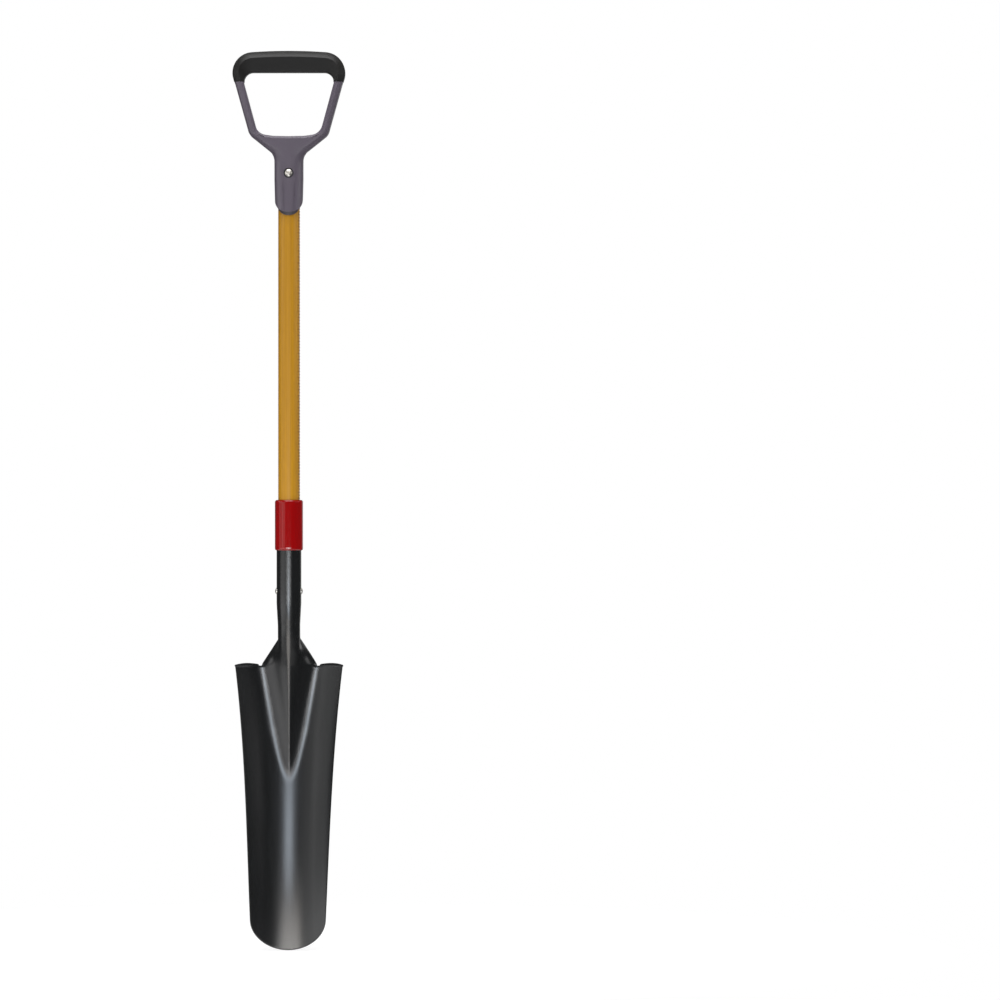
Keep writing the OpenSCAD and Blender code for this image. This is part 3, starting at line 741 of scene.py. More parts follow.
class SPADE_OT_head(bpy.types.Operator):
    """Rolls the blade, frog, steps, skirt and socket from one sheet"""

    bl_idname = "spade.head"
    bl_label = "Head"

    # The sheet's grid, in rows from the socket down and in columns from the middle out
    SOCKET_ROWS = 6
    NECK_ROWS = 48
    STEP_ROW = SOCKET_ROWS + NECK_ROWS
    BLADE_ROWS = 120
    LIP_ROWS = 2
    NECK_COLS = 30
    WING_COLS = 18
    # How much the neck's columns crowd towards the middle
    CROWDING = 1.25
    # Edges that turn by more than this, in degrees, are rounded
    RIM_ANGLE = 55

    def execute(self, context):
        spade = context.scene.spade
        sheet = HeadSheet(spade.head)
        tip_z = SHAFT_LOW - spade.head.shaft_seat - sheet.socket_z
        rows = self.STEP_ROW + self.BLADE_ROWS
        middle = self.NECK_COLS + self.WING_COLS
        bm = bmesh.new()
        bmesh.ops.create_grid(bm, x_segments=2 * middle, y_segments=rows, size=1.0)
        cell = {v: (round((v.co.x + 1) * middle) - middle, round((1 - v.co.y) / 2 * rows))
                for v in bm.verts}
        gaps = [f for f in bm.faces if self.is_open([cell[v] for v in f.verts])]
        bmesh.ops.delete(bm, geom=gaps, context="FACES")
        for v in bm.verts:
            v.co = self.sheet_point(sheet, *cell[v])
            v.co.z += tip_z
        head = make_piece("blade_head_sheet", bm)
        wall = head.modifiers.new("wall", "SOLIDIFY")
        wall.thickness = spade.head.sheet
        wall.offset = 0.0
        wall.use_even_offset = True
        rim = head.modifiers.new("rim", "BEVEL")
        rim.limit_method = "ANGLE"
        rim.angle_limit = math.radians(self.RIM_ANGLE)
        rim.width = spade.head.rim
        rim.segments = 3
        finish_piece(head, lacquer_finish(spade.finish), "head_lacquer", "blade_head", sharp=70)
        return {"FINISHED"}

    def is_open(self, corners):
        """Whether a face of the grid lies beside the neck or above a lip"""
        columns = [abs(column) for column, row in corners]
        top = min(row for column, row in corners)
        if top >= self.STEP_ROW or max(columns) <= self.NECK_COLS:
            return False
        return min(columns) <= self.NECK_COLS or top < self.STEP_ROW - self.LIP_ROWS

    def sheet_point(self, sheet, column, row):
        """Where a point of the grid lies on the sheet"""
        side = math.copysign(1, column)
        k = abs(column)
        p = (k / self.NECK_COLS) ** self.CROWDING
        if k <= self.NECK_COLS:
            u = sheet.edge_u * p
        else:
            start = math.asin(sheet.edge_u)
            u = math.sin(mix(start, math.pi / 2, (k - self.NECK_COLS) / self.WING_COLS))
        if row >= self.STEP_ROW:
            return sheet.blade_point(side * u, (row - self.STEP_ROW) / self.BLADE_ROWS)
        if k > self.NECK_COLS:
            return sheet.lip_point(side * u, min(1, (self.STEP_ROW - row) / self.LIP_ROWS))
        if row <= self.SOCKET_ROWS:
            z = mix(sheet.socket_top, sheet.socket_z, row / self.SOCKET_ROWS)
        else:
            z = mix(sheet.socket_z, sheet.step_z, (row - self.SOCKET_ROWS) / self.NECK_ROWS)
        return sheet.neck_point(side * p, z)


# Fasteners and plugs


class SPADE_OT_fasteners(bpy.types.Operator):
    """Gives the rivet, the screw and the hidden plugs their finishes"""

    bl_idname = "spade.fasteners"
    bl_label = "Rivet, screw and plugs"

    def execute(self, context):
        look = context.scene.spade.finish
        zinc = zinc_finish(look)
        wood = wood_finish(look)
        for node, material in (("socket_rivet", zinc), ("grip_screw", zinc),
                               ("lower_plug", wood), ("upper_plug", wood)):
            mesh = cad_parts[node].data
            mesh.materials.clear()
            mesh.materials.append(material)
        return {"FINISHED"}


# Collar and shaft


class SPADE_OT_collar(bpy.types.Operator):
    """Turns the red collar over the mouth of the socket"""

    bl_idname = "spade.collar"
    bl_label = "Collar"

    ROUND_STEPS = 8
    # Rounding of the upper end's inner edge, as a share of its outer one
    MOUTH_ROUND = 1 / 3
    MOUTH_STEPS = 3
    # Distance of the loops that keep the side straight from the ends, in roundings
    HOLD = 1.3
    # How far the lower end draws in, as a share of the wall over the socket
    LOW_DRAW = 0.85

    def execute(self, context):
        spade = context.scene.spade
        s = spade.shaft
        head = spade.head
        r = s.collar_round
        mouth = r * self.MOUTH_ROUND
        hold = r * self.HOLD
        on_shaft = SHAFT_R + s.collar_fit
        on_socket = SHAFT_R + head.socket_fit + head.sheet + s.collar_fit
        ledge = COLLAR_LOW + s.collar_cover + s.collar_fit
        draw = self.LOW_DRAW * (COLLAR_R - on_socket)
        profile = [(on_shaft, ledge), (on_shaft, COLLAR_TOP - mouth)]
        profile += arc(on_shaft + mouth, COLLAR_TOP - mouth, mouth, 180, 90, self.MOUTH_STEPS)
        profile += arc(COLLAR_R - r, COLLAR_TOP - r, r, 90, 0, self.ROUND_STEPS)
        profile += [(COLLAR_R, COLLAR_TOP - hold), (COLLAR_R, COLLAR_LOW + hold)]
        profile += [(COLLAR_R - draw * (1 - x), COLLAR_LOW + r * (1 + z))
                    for x, z in arc(0, 0, 1, 0, -90, self.ROUND_STEPS)]
        profile += [(on_socket, COLLAR_LOW), (on_socket, ledge)]
        piece = make_piece("socket_collar_sleeve", turned(profile))
        finish_piece(piece, collar_finish(spade.finish), "collar_plastic", "socket_collar", sharp=40)
        return {"FINISHED"}


class SPADE_OT_shaft(bpy.types.Operator):
    """Turns the fibreglass tube"""

    bl_idname = "spade.shaft"
    bl_label = "Shaft"

    def execute(self, context):
        spade = context.scene.spade
        c = spade.shaft.end_chamfer
        inner = SHAFT_R - spade.shaft.wall
        profile = [(inner, SHAFT_LOW), (SHAFT_R - c, SHAFT_LOW), (SHAFT_R, SHAFT_LOW + c),
                   (SHAFT_R, SHAFT_TOP - c), (SHAFT_R - c, SHAFT_TOP), (inner, SHAFT_TOP)]
        piece = make_piece("shaft_tube", turned(profile))
        finish_piece(piece, fibreglass_finish(spade.finish), "shaft_fibreglass", "shaft", sharp=30)
        return {"FINISHED"}


class SPADE_OT_strip(bpy.types.Operator):
    """Sets the dots of the anti-slip strip on the side of the shaft"""

    bl_idname = "spade.strip"
    bl_label = "Anti-slip strip"

    SIDES = 10
    # Width of a dot's top, as a share of its foot
    TOP_SHARE = 2 / 3
    # Places of the dots in the two kinds of row, which take turns, in pitches from the strip's middle
    ROWS = ((-1, 0, 1), (-0.5, 0.5))

    def execute(self, context):
        spade = context.scene.spade
        s = spade.shaft
        foot_r = s.dot_d / 2
        sink = s.dot_h / 2
        start = COLLAR_TOP + s.dot_d
        end = SHAFT_TOP - spade.grip.cover + s.dot_d
        bm = bmesh.new()
        for row in range(int((end - start) / s.dot_row) + 1):
            z = start + row * s.dot_row
            for place in self.ROWS[row % 2]:
                turn = -s.strip_turn + place * s.dot_gap / SHAFT_R
                at = (Matrix.Rotation(turn, 4, "Z") @ Matrix.Translation((SHAFT_R, 0, z))
                      @ Matrix.Rotation(math.pi / 2, 4, "Y"))
                bmesh.ops.create_cone(
                    bm, cap_ends=True, segments=self.SIDES, radius1=foot_r,
                    radius2=foot_r * self.TOP_SHARE, depth=s.dot_h + sink,
                    matrix=at @ Matrix.Translation((0, 0, (s.dot_h - sink) / 2)))
        piece = make_piece("shaft_dots", bm)
        finish_piece(piece, dot_finish(spade.finish), "shaft_fibreglass", sharp=25)
        return {"FINISHED"}


# Grip


def flat(x, z):
    """A point of an outline, across and up"""
    return Vector((x, z))


def cross(a, b):
    """Cross product of two ways in an outline's plane"""
    return a.x * b.y - a.y * b.x


def meet(p, d, q, e):
    """Where the line through p along d crosses the line through q along e"""
    return p + d * (cross(q - p, e) / cross(d, e))


def corner(a, p, b, r, steps):
    """Round stretch at corner p between a and b"""
    u = (a - p).normalized()
    v = (b - p).normalized()
    half = u.angle(v) / 2
    hub = p + (u + v).normalized() * (r / math.sin(half))
    start = p + u * (r / math.tan(half)) - hub
    way = math.copysign(1, cross(v, u))
    turn = way * (math.pi - 2 * half)
    return [hub + Matrix.Rotation(turn * i / steps, 2) @ start for i in range(steps + 1)]


def spaced(points, count):
    """The same line with count points, evenly spaced"""
    runs = [(b - a).length for a, b in zip(points, points[1:])]
    whole_run = sum(runs)
    made = []
    for i in range(count):
        left = whole_run * i / (count - 1)
        k = 0
        while k < len(runs) - 1 and left > runs[k]:
            left -= runs[k]
            k += 1
        made.append(points[k].lerp(points[k + 1], min(1.0, left / runs[k])))
    return made


def between(a, b, count):
    """Evenly spaced points on the straight line from a to b, without its ends"""
    return spaced([a, b], count + 2)[1:-1]


def whole(half):
    """The full outline of a right half, clockwise from the top of the middle"""
    return half + [flat(-p.x, p.y) for p in reversed(half[1:-1])]


def normals(loop):
    """Normals of a closed clockwise outline, to its inside"""
    n = len(loop)
    made = []
    for i in range(n):
        along = (loop[(i + 1) % n] - loop[i - 1]).normalized()
        made.append(flat(along.y, -along.x))
    return made


def distance(p, a, b):
    """Distance of p from the straight line between a and b"""
    run = b - a
    t = clamp((p - a).dot(run) / run.length_squared)
    return (a + run * t - p).length


class GripOutline:
    """Right halves of the grip's outer outline and of the hand opening, in X and Z"""

    # How far the waist, where the neck turns into the skirt, lies below the shaft's end
    WAIST_DROP = 0.028
    WAIST_R = 0.06
    # How far the skirt's sides run below the waist, before its end is cut slantwise
    FOOT = 0.125
    BELLY_R = 0.04
    # Height of the opening's lower edge half way to its corners, as a share of its sag
    BELLY_RISE = 1 / 8
    # Share of the opening's half width over which the crossbar's crown is drawn
    CROWN_REACH = 0.75
    # Steps on the round stretches and points on the straight ones
    CROWN_STEPS = 12
    CORNER_STEPS = 16
    HEEL_STEPS = 12
    WAIST_STEPS = 4
    BELLY_STEPS = 6
    BAR_POINTS = 20
    ARM_POINTS = 14
    NECK_POINTS = 4
    SKIRT_POINTS = 22
    FOOT_POINTS = 6

    def __init__(self, s):
        base = SHAFT_TOP + s.web_h
        top = base + s.open_h
        open_top = flat(0, top)
        open_corner = flat(s.open_top_w / 2, top)
        heel = flat(s.open_low_w / 2, base + s.open_sag)
        belly = flat(s.open_low_w / 4, base + s.open_sag * self.BELLY_RISE)
        open_low = flat(0, base)
        up = (open_corner - heel).normalized()
        out = flat(up.y, -up.x)
        side = open_corner + out * s.arm_w
        low_side = heel + out * s.arm_low_w
        arm = (side - low_side).normalized()
        neck = flat(s.neck_w / 2, base - s.shoulder_drop)
        slope = flat(math.cos(s.shoulder_slope), math.sin(s.shoulder_slope))
        crown = [self.crown_point(s, top, k / self.CROWN_STEPS) for k in range(self.CROWN_STEPS + 1)]
        bar_corner = meet(side, arm, crown[-1], (crown[-1] - crown[-2]).normalized())
        shoulder = meet(side, arm, neck, slope)
        waist = flat(s.neck_w / 2, SHAFT_TOP - self.WAIST_DROP)
        end = flat(s.end_w / 2, SHAFT_TOP - s.cover - s.end_d)
        foot = waist + (end - waist) * (self.FOOT / (waist.y - end.y))
        foot_middle = flat(0, foot.y)
        bar_turn = corner(crown[-1], bar_corner, shoulder, s.bar_corner_r, self.CORNER_STEPS)
        shoulder_turn = corner(bar_corner, shoulder, neck, s.shoulder_r, self.HEEL_STEPS)
        neck_turn = corner(shoulder, neck, waist, s.neck_corner_r, self.HEEL_STEPS)
        waist_turn = corner(neck, waist, foot, self.WAIST_R, self.WAIST_STEPS)
        open_turn = corner(open_top, open_corner, heel, s.open_corner_r, self.CORNER_STEPS)
        heel_turn = corner(open_corner, heel, belly, s.open_heel_r, self.HEEL_STEPS)
        belly_turn = corner(heel, belly, open_low, self.BELLY_R, self.BELLY_STEPS)
        below = (between(shoulder_turn[-1], neck_turn[0], self.NECK_POINTS) + neck_turn
                 + between(neck_turn[-1], waist_turn[0], self.NECK_POINTS) + waist_turn
                 + between(waist_turn[-1], foot, self.SKIRT_POINTS) + [foot]
                 + between(foot, foot_middle, self.FOOT_POINTS) + [foot_middle])
        self.outer = (spaced(crown + [bar_turn[0]], self.BAR_POINTS)[:-1] + bar_turn
                      + between(bar_turn[-1], shoulder_turn[0], self.ARM_POINTS) + shoulder_turn
                      + below)
        self.inner = (spaced([open_top, open_turn[0]], self.BAR_POINTS)[:-1] + open_turn
                      + between(open_turn[-1], heel_turn[0], self.ARM_POINTS) + heel_turn
                      + spaced([heel_turn[-1]] + belly_turn + [open_low], len(below) + 1)[1:])
        self.waist_z = waist.y
        self.end_z = end.y

    def crown_point(self, s, top, t):
        """A point of the crossbar's falling top, at share t of what is drawn of it"""
        u = self.CROWN_REACH * t
        return flat(u * s.open_top_w / 2, top + s.bar_h - s.bar_crown * u ** 2)


class GripShell:
    """The grip's surface: a front sheet between the two outlines, copied to the back and closed"""

    # Steps across the outer rounding, the face and the opening's edge
    ROUND_STEPS = 9
    FLAT_STEPS = 14
    EDGE_STEPS = 5
    # Power of the neck's oval, which is squarer than an ellipse
    SQUARE = 2.5
    # Slope of the cushion's band where it meets the face
    BAND_SLOPE = 0.5
    # Height over which the grip turns into its neck, and where its section starts to above the shaft
    NECK_RUN = 0.03
    OVAL_START = 0.022
    # Width of the neck's rounded sides
    OVAL_REACH = 0.0125
    # A rim that is farther than this from the outer outline belongs to the hand opening
    OPENING_GAP = 0.004
    # Points that are nearer than this when the shell is closed are merged
    SHELL_MERGE = 2e-5

    def __init__(self, s, outer_round, inner_round, grow=0.0, fall=0.0):
        self.s = s
        self.outer_round = outer_round
        self.inner_round = inner_round
        self.grow = grow
        self.fall = fall
        self.lines = GripOutline(s)
        self.outer = self.grown(self.lines.outer, grow)
        self.inner = self.grown(self.lines.inner, -grow)

    def grown(self, half, grow):
        """The full outline of a right half, made larger"""
        loop = whole(half)
        return [p - n * grow for p, n in zip(loop, normals(loop))]

    def neck_share(self, z, start):
        """How far the grip has turned into its neck at a height, from a start above the shaft's end"""
        return ease((SHAFT_TOP + start - z) / self.NECK_RUN)

    def half_depth(self, z):
        """Half of the grip's depth at a height"""
        s = self.s
        deep = mix(s.depth, s.neck_d, self.neck_share(z, self.NECK_RUN))
        low = (self.lines.waist_z - z) / (self.lines.waist_z - self.lines.end_z)
        return mix(deep, s.end_d, max(0, low)) / 2 + self.grow

    def front(self, z, d):
        """Depth of the front at a height and at a distance from the outer outline"""
        half = self.half_depth(z)
        r = self.outer_round
        left = clamp(1 - d / r)
        if self.fall:
            plate = half - r * left * mix(self.BAND_SLOPE, 1, left)
        else:
            plate = half - r + r * math.sqrt(1 - left * left)
        aside = max(0, 1 - d / (self.s.neck_w / 2))
        oval = half * (1 - aside ** self.SQUARE) ** (1 / self.SQUARE)
        return mix(plate, oval, self.neck_share(z, self.OVAL_START))

    def inset(self, p):
        """Distance of a point from the outer outline"""
        return min(distance(p, a, b) for a, b in zip(self.outer, self.outer[1:] + self.outer[:1]))

    def section(self, a, a_in, b, b_in):
        """Points from a on the outer outline across the front to b on the hand opening"""
        neck = self.neck_share(a.y, self.OVAL_START)
        reach = mix(self.outer_round, self.OVAL_REACH, neck)
        made = []
        for k in range(self.ROUND_STEPS + 1):
            d = reach * (1 - math.cos(math.pi / 2 * k / self.ROUND_STEPS))
            at = a + a_in * d
            deep = self.front(at.y, d)
            made.append((at.x, -deep, at.y))
        start = a + a_in * reach
        end = b - b_in * self.inner_round
        band_deep = deep
        drop = self.fall * (end - start).length * (1 - neck)
        for k in range(1, self.FLAT_STEPS + 1):
            t = k / self.FLAT_STEPS
            at = start.lerp(end, t)
            deep = band_deep - drop * t if self.fall else self.front(at.y, self.inset(at))
            made.append((at.x, -deep, at.y))
        for k in range(1, self.EDGE_STEPS + 1):
            t = k / self.EDGE_STEPS
            turn = math.pi / 2 * t
            step, sunk = (math.sin(turn), 1 - math.cos(turn)) if self.fall else (t, t)
            at = end + b_in * (self.inner_round * step)
            made.append((at.x, self.inner_round * sunk - deep, at.y))
        return made

    def build(self):
        """A closed bmesh of the whole loop with its neck"""
        n = len(self.outer)
        steps = self.ROUND_STEPS + self.FLAT_STEPS + self.EDGE_STEPS
        pairs = zip(self.outer, normals(self.outer), self.inner, normals(self.inner))
        sections = [self.section(*pair) for pair in pairs]
        bm = bmesh.new()
        bmesh.ops.create_grid(bm, x_segments=n, y_segments=steps, size=1.0)
        for v in bm.verts:
            i = round((v.co.x + 1) / 2 * n) % n
            k = round((v.co.y + 1) / 2 * steps)
            v.co = sections[i][k]
        bmesh.ops.remove_doubles(bm, verts=bm.verts[:], dist=MERGE)
        copy = bmesh.ops.duplicate(bm, geom=everything(bm))["geom"]
        back = [e for e in copy if isinstance(e, bmesh.types.BMVert)]
        bmesh.ops.scale(bm, vec=(1, -1, 1), verts=back)
        rims = [e for e in bm.edges if e.is_boundary]
        inside = {e for e in rims if self.inset(e.verts[0].co.xz) > self.OPENING_GAP}
        hole = [e for e in rims if e in inside]
        shell = [e for e in rims if e not in inside]
        bmesh.ops.bridge_loops(bm, edges=hole)
        bmesh.ops.bridge_loops(bm, edges=shell)
        close_up(bm, self.SHELL_MERGE)
        return bm


def cut_level(bm, at, normal, keep_above):
    """Cuts the mesh at a plane, drops one side and closes the cut; gives the new faces"""
    cut = bmesh.ops.bisect_plane(
        bm, geom=everything(bm), dist=CUT_MERGE, plane_co=at, plane_no=normal,
        clear_inner=keep_above, clear_outer=not keep_above)
    rim = [e for e in cut["geom_cut"] if isinstance(e, bmesh.types.BMEdge)]
    caps = bmesh.ops.holes_fill(bm, edges=rim, sides=0)["faces"]
    bmesh.ops.recalc_face_normals(bm, faces=bm.faces[:])
    return caps


def subtract(piece, cutter):
    """Cuts one mesh out of another, then drops the cutter"""
    hole = piece.modifiers.new("cut", "BOOLEAN")
    hole.operation = "DIFFERENCE"
    hole.solver = "MANIFOLD"
    hole.object = cutter
    apply_modifiers(piece)
    bpy.data.objects.remove(cutter)


def peg(bm, r, depth, sides, place):
    """Adds a closed cylinder"""
    bmesh.ops.create_cone(bm, cap_ends=True, segments=sides, radius1=r, radius2=r, depth=depth,
                          matrix=place)


class SPADE_OT_grip(bpy.types.Operator):
    """Moulds the grey D grip with its slantwise skirt"""

    bl_idname = "spade.grip"
    bl_label = "Grip"

    # Gap between the arms' ends and the cushion
    SEAT_GAP = 0.0001
    # Gap that the skirt's rim keeps to the shaft, and its least radius
    END_GAP = 0.0006
    END_R = SHAFT_R + END_GAP
    BORE_FIT = 0.0002
    BORE_DEPTH = 0.2
    BORE_SIDES = 96
    RECESS_CUT = 0.01
    RECESS_SIDES = 64

    def execute(self, context):
        spade = context.scene.spade
        s = spade.grip
        bm = GripShell(s, s.outer_round, s.inner_round).build()
        cut_level(bm, (0, 0, CUSHION_Z - self.SEAT_GAP), (0, 0, 1), keep_above=False)
        self.end_skirt(bm, s)
        piece = make_piece("grip_frame_moulding", bm)
        subtract(piece, self.cutter(s))
        # The finish paints shade into the recess round the screw and along the skirt's rim
        screw = (0, -s.neck_d / 2, SCREW_Z)
        finish = grip_finish(spade.finish, screw, s.recess_d / 2, *self.rim_plane(s))
        finish_piece(piece, finish, "grip_plastic", "grip_frame", sharp=16)
        return {"FINISHED"}

    def rim_plane(self, s):
        """A point on the slanting line where the skirt's rim starts, and the way down from it"""
        line = Vector((0, 0, SHAFT_TOP - s.cover + s.end_rim))
        return line, Vector((0, math.sin(s.cut), -math.cos(s.cut)))

    def end_skirt(self, bm, s):
        """Cuts the skirt slantwise and draws its rim in towards the shaft"""
        line, down = self.rim_plane(s)
        slant = -down
        cut_level(bm, line - Vector((0, 0, s.end_rim)), slant, keep_above=True)
        bmesh.ops.bisect_plane(bm, geom=everything(bm), dist=CUT_MERGE, plane_co=line, plane_no=slant)
        for v in bm.verts:
            below = (line - v.co).dot(slant) / (s.end_rim * slant.z)
            side = math.hypot(v.co.x, v.co.y)
            if below > 0 and side > self.END_R:
                v.co.xy *= max(self.END_R, side - clamp(below) * s.end_draw) / side

    def cutter(self, s):
        """The bore for the shaft and the round recess for the screw"""
        bm = bmesh.new()
        bore = Matrix.Translation((0, 0, SHAFT_TOP - self.BORE_DEPTH / 2))
        peg(bm, SHAFT_R + self.BORE_FIT, self.BORE_DEPTH, self.BORE_SIDES, bore)
        floor = s.recess - s.neck_d / 2
        recess = (Matrix.Translation((0, floor - self.RECESS_CUT / 2, SCREW_Z))
                  @ Matrix.Rotation(math.pi / 2, 4, "X"))
        peg(bm, s.recess_d / 2, self.RECESS_CUT, self.RECESS_SIDES, recess)
        return make_piece("cutter", bm)


class SPADE_OT_cushion(bpy.types.Operator):
    """Moulds the soft cushion over the crossbar and the upper corners"""

    bl_idname = "spade.cushion"
    bl_label = "Cushion"

    def execute(self, context):
        spade = context.scene.spade
        s = spade.grip
        shell = GripShell(s, s.cushion_band, s.cushion_edge, grow=s.proud, fall=s.cushion_fall)
        bm = shell.build()
        caps = cut_level(bm, (0, 0, CUSHION_Z), (0, 0, 1), keep_above=True)
        rim = {e for f in caps for e in f.edges if len(e.link_faces) == 2}
        bmesh.ops.bevel(bm, geom=list(rim), offset=s.proud, offset_type="OFFSET", segments=2,
                        profile=0.5, affect="EDGES", clamp_overlap=True, material=-1)
        piece = make_piece("grip_cushion_pad", bm)
        finish_piece(piece, rubber_finish(spade.finish), "cushion_rubber", "grip_cushion", sharp=26)
        return {"FINISHED"}


# Stage


class SPADE_OT_stage(bpy.types.Operator):
    """Sets up the pale floor, the white surroundings, the lights and the camera"""

    bl_idname = "spade.stage"
    bl_label = "Stage"

    SENSOR_W = 36.0
    CLIP_END = 100.0
    # Watts that give one square metre of a lamp a radiance of 1
    WATTS = 4
    # A lamp that is more than this above the spade hangs over it
    OVERHEAD = 1
    # The way to the even light's front, and where its sides lie between back and front
    FILL_FROM = (-0.5, -0.76, 0.4)
    FILL_SIDES = 0.58
    # How straight back a reflection has to point to start to see white, and to see it in full
    WHITE_START = 0.985
    WHITE_FULL = 0.998
    FLOOR_R = 0.9
    FLOOR_SIDES = 96
    FLOOR_DROP = 0.001
    FLOOR_GREY = 0.8
    FLOOR_ROUGH = 0.9
    # The floor's own glow, and its share of what is seen of the floor
    FLOOR_GLOW = 1.35
    FLOOR_GLOW_SHARE = 0.6

    def execute(self, context):
        scene = context.scene
        studio = scene.spade.studio
        scene.view_settings.view_transform = "Standard"
        self.camera(scene, studio)
        self.world(scene, studio)
        self.floor()
        self.lamp("key_light", studio.key, place=(-2.32, -2.49, 0.95), size=(1.7, 1.3))
        self.lamp("wash_light", studio.wash, place=(-3.15, -1.27, 0.85), size=(2.4, 1.7))
        self.lamp("low_wash_light", studio.low_wash, place=(-1.97, -1.38, 0.03), size=(2.5, 0.78))
        for side, x in (("right", 2.4), ("left", -2.4)):
            self.lamp("high_wash_light_" + side, studio.high_wash, place=(x, -0.6, 1.35),
                      size=(2.0, 0.7))
        self.lamp("front_light", studio.front, place=(-0.14, -4.0, 0.31), size=(3.0, 0.22))
        self.lamp("streak_light", studio.streak, place=(-0.025, -0.7, 0.39), size=(0.17, 0.22),
                  tone=studio.cool)
        self.lamp("neck_light", studio.neck, place=(-0.085, -0.7, 0.11), size=(0.42, 0.21),
                  tone=studio.warm)
        self.lamp("back_light", studio.back, place=(1.7, 2.94, 0.75), size=(1.4, 1.5))
        self.lamp("overhead_light", studio.overhead, place=(0, -0.7, 2.4), size=(1.6, 1.4))
        return {"FINISHED"}

    def camera(self, scene, studio):
        """A level camera in front of the spade"""
        data = bpy.data.cameras.new("camera")
        data.sensor_width = self.SENSOR_W
        data.lens = self.SENSOR_W * studio.distance / studio.width
        data.clip_end = self.CLIP_END
        camera = bpy.data.objects.new("camera", data)
        camera.location = (studio.aside, -studio.distance, TIP_Z + studio.height)
        camera.rotation_euler = (math.pi / 2, 0, 0)
        scene.collection.objects.link(camera)
        scene.camera = camera

    def world(self, scene, studio):
        """White for what is seen; reflections see it straight behind the spade, and are dim elsewhere"""
        world = bpy.data.worlds.new("studio")
        scene.world = world
        world.use_nodes = True
        tree = world.node_tree
        way = add_node(tree, "TexCoord").outputs["Generated"]
        back = add_node(tree, "SeparateXYZ", {"Vector": way}).outputs["Y"]
        behind = add_node(tree, "MapRange", {"Value": back, "From Min": self.WHITE_START,
                                             "From Max": self.WHITE_FULL, "To Min": studio.dim},
                          interpolation_type="SMOOTHSTEP")
        front = add_node(tree, "VectorMath", {0: way, 1: Vector(self.FILL_FROM).normalized()},
                         operation="DOT_PRODUCT")
        turn = add_node(tree, "MapRange", {"Value": front.outputs["Value"], "From Min": -1.0})
        fill = add_node(tree, "ValToRGB", {"Fac": turn.outputs["Result"]})
        fill.color_ramp.elements.new(self.FILL_SIDES)
        levels = (studio.fill_back, studio.fill_side, studio.fill_front)
        for stop, level in zip(fill.color_ramp.elements, levels):
            stop.color = (level, level, level, 1)
        direct, mirrored = sight_rays(tree)
        shown = add_node(tree, "Mix", {"Factor": mirrored, "A": fill.outputs["Color"],
                                       "B": behind.outputs["Result"]}, data_type="FLOAT")
        seen = add_node(tree, "Mix", {"Factor": direct, "A": shown.outputs["Result"], "B": 1.0},
                        data_type="FLOAT")
        background = tree.nodes["Background"].inputs
        feed(tree, background["Strength"], seen.outputs["Result"])
        feed(tree, background["Color"], (1, 1, 1, 1))

    def floor(self):
        """A pale floor that reads as white and keeps the spade's shadow"""
        bm = bmesh.new()
        bmesh.ops.create_circle(bm, cap_ends=True, segments=self.FLOOR_SIDES, radius=self.FLOOR_R,
                                matrix=Matrix.Translation((0, 0, TIP_Z - self.FLOOR_DROP)))
        floor = make_piece("floor", bm)
        material, tree, shader = new_material("pale_floor")
        grey = self.FLOOR_GREY
        feed(tree, shader.inputs["Base Color"], (grey, grey, grey, 1))
        feed(tree, shader.inputs["Roughness"], self.FLOOR_ROUGH)
        direct, mirrored = sight_rays(tree)
        seen = add_node(tree, "Math", {0: direct, 1: mirrored}, operation="MAXIMUM")
        part = add_node(tree, "Math", {0: seen.outputs["Value"], 1: self.FLOOR_GLOW_SHARE},
                        operation="MULTIPLY")
        glow = add_node(tree, "Emission", {"Strength": self.FLOOR_GLOW})
        blend = add_node(tree, "MixShader", {"Fac": part.outputs["Value"], 1: shader.outputs["BSDF"],
                                             2: glow.outputs["Emission"]})
        feed(tree, tree.nodes["Material Output"].inputs["Surface"], blend.outputs["Shader"])
        floor.data.materials.append(material)

    def lamp(self, name, radiance, place, size, tone=(1, 1, 1)):
        """A rectangular light that faces the shaft, or straight down if it hangs over the spade"""
        width, height = size
        x, y, z = place
        data = bpy.data.lights.new(name, "AREA")
        data.shape = "RECTANGLE"
        data.size = width
        data.size_y = height
        data.energy = self.WATTS * radiance * width * height
        data.color = tone
        lamp = bpy.data.objects.new(name, data)
        lamp.location = (x, y, TIP_Z + z)
        if TIP_Z + z < CAD_BOX[1].z + self.OVERHEAD:
            lamp.rotation_euler = (math.pi / 2, 0, math.atan2(x, -y))
        lamp.visible_camera = False
        bpy.context.scene.collection.objects.link(lamp)


class SPADE_PT_panel(bpy.types.Panel):
    """Values of the spade and the buttons that make its pieces"""

    bl_idname = "SPADE_PT_panel"
    bl_label = "Trenching spade"
    bl_space_type = "VIEW_3D"
    bl_region_type = "UI"
    bl_category = "Spade"

    def draw(self, context):
        spade = context.scene.spade
        for group in ("head", "shaft", "grip", "finish", "studio"):
            box = self.layout.box()
            box.label(text=group.capitalize())
            values = getattr(spade, group)
            for name in values.__annotations__:
                box.prop(values, name)
        for operator in OPERATORS:
            self.layout.operator(operator.bl_idname)


OPERATORS = (SPADE_OT_head, SPADE_OT_fasteners, SPADE_OT_collar, SPADE_OT_shaft, SPADE_OT_strip,
             SPADE_OT_grip, SPADE_OT_cushion, SPADE_OT_stage)
CLASSES = (SPADE_PG_head, SPADE_PG_shaft, SPADE_PG_grip, SPADE_PG_finish, SPADE_PG_studio,
           SPADE_PG_spade, *OPERATORS, SPADE_PT_panel)


def register():
    for cls in CLASSES:
        bpy.utils.register_class(cls)
    bpy.types.Scene.spade = bpy.props.PointerProperty(type=SPADE_PG_spade)


def unregister():
    del bpy.types.Scene.spade
    for cls in reversed(CLASSES):
        bpy.utils.unregister_class(cls)


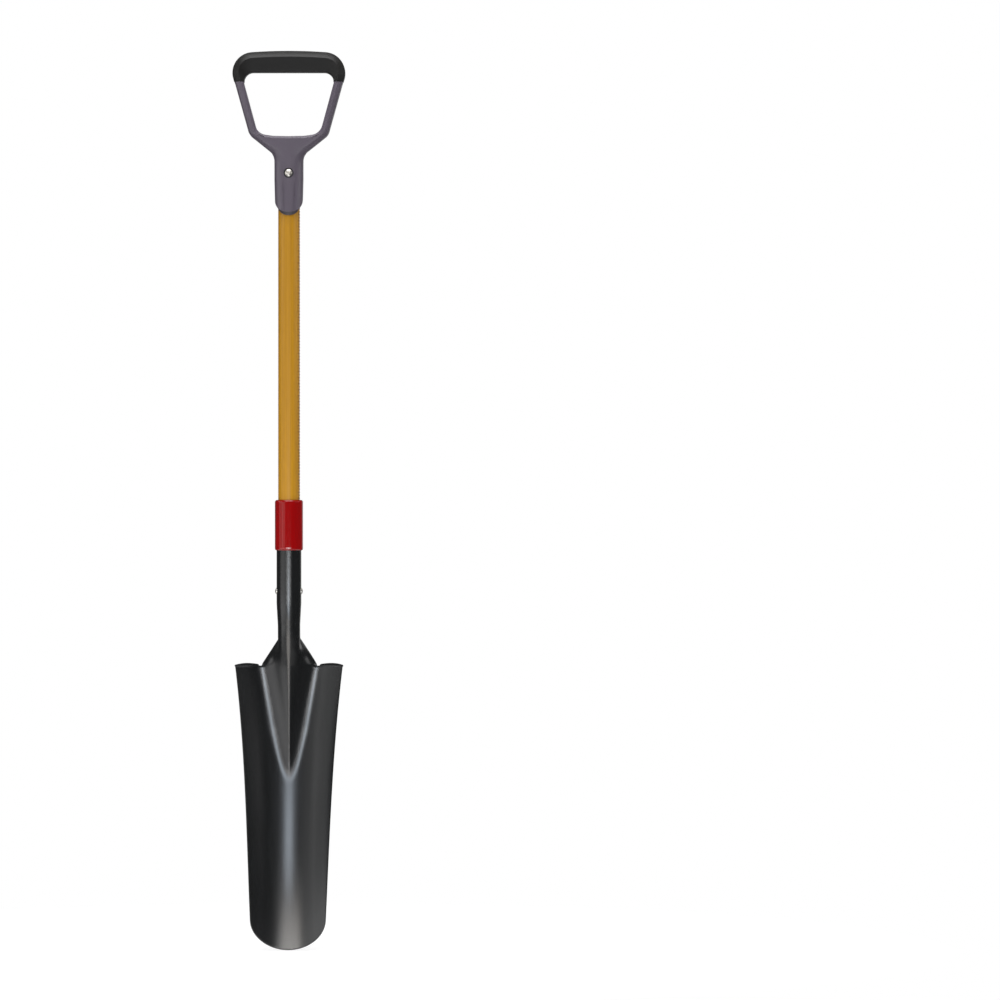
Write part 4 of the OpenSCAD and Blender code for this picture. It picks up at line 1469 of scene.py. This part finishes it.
def main():
    register()
    bpy.ops.spade.head()
    bpy.ops.spade.fasteners()
    bpy.ops.spade.collar()
    bpy.ops.spade.shaft()
    bpy.ops.spade.strip()
    bpy.ops.spade.grip()
    bpy.ops.spade.cushion()
    bpy.ops.spade.stage()


if __name__ == "__main__":
    main()
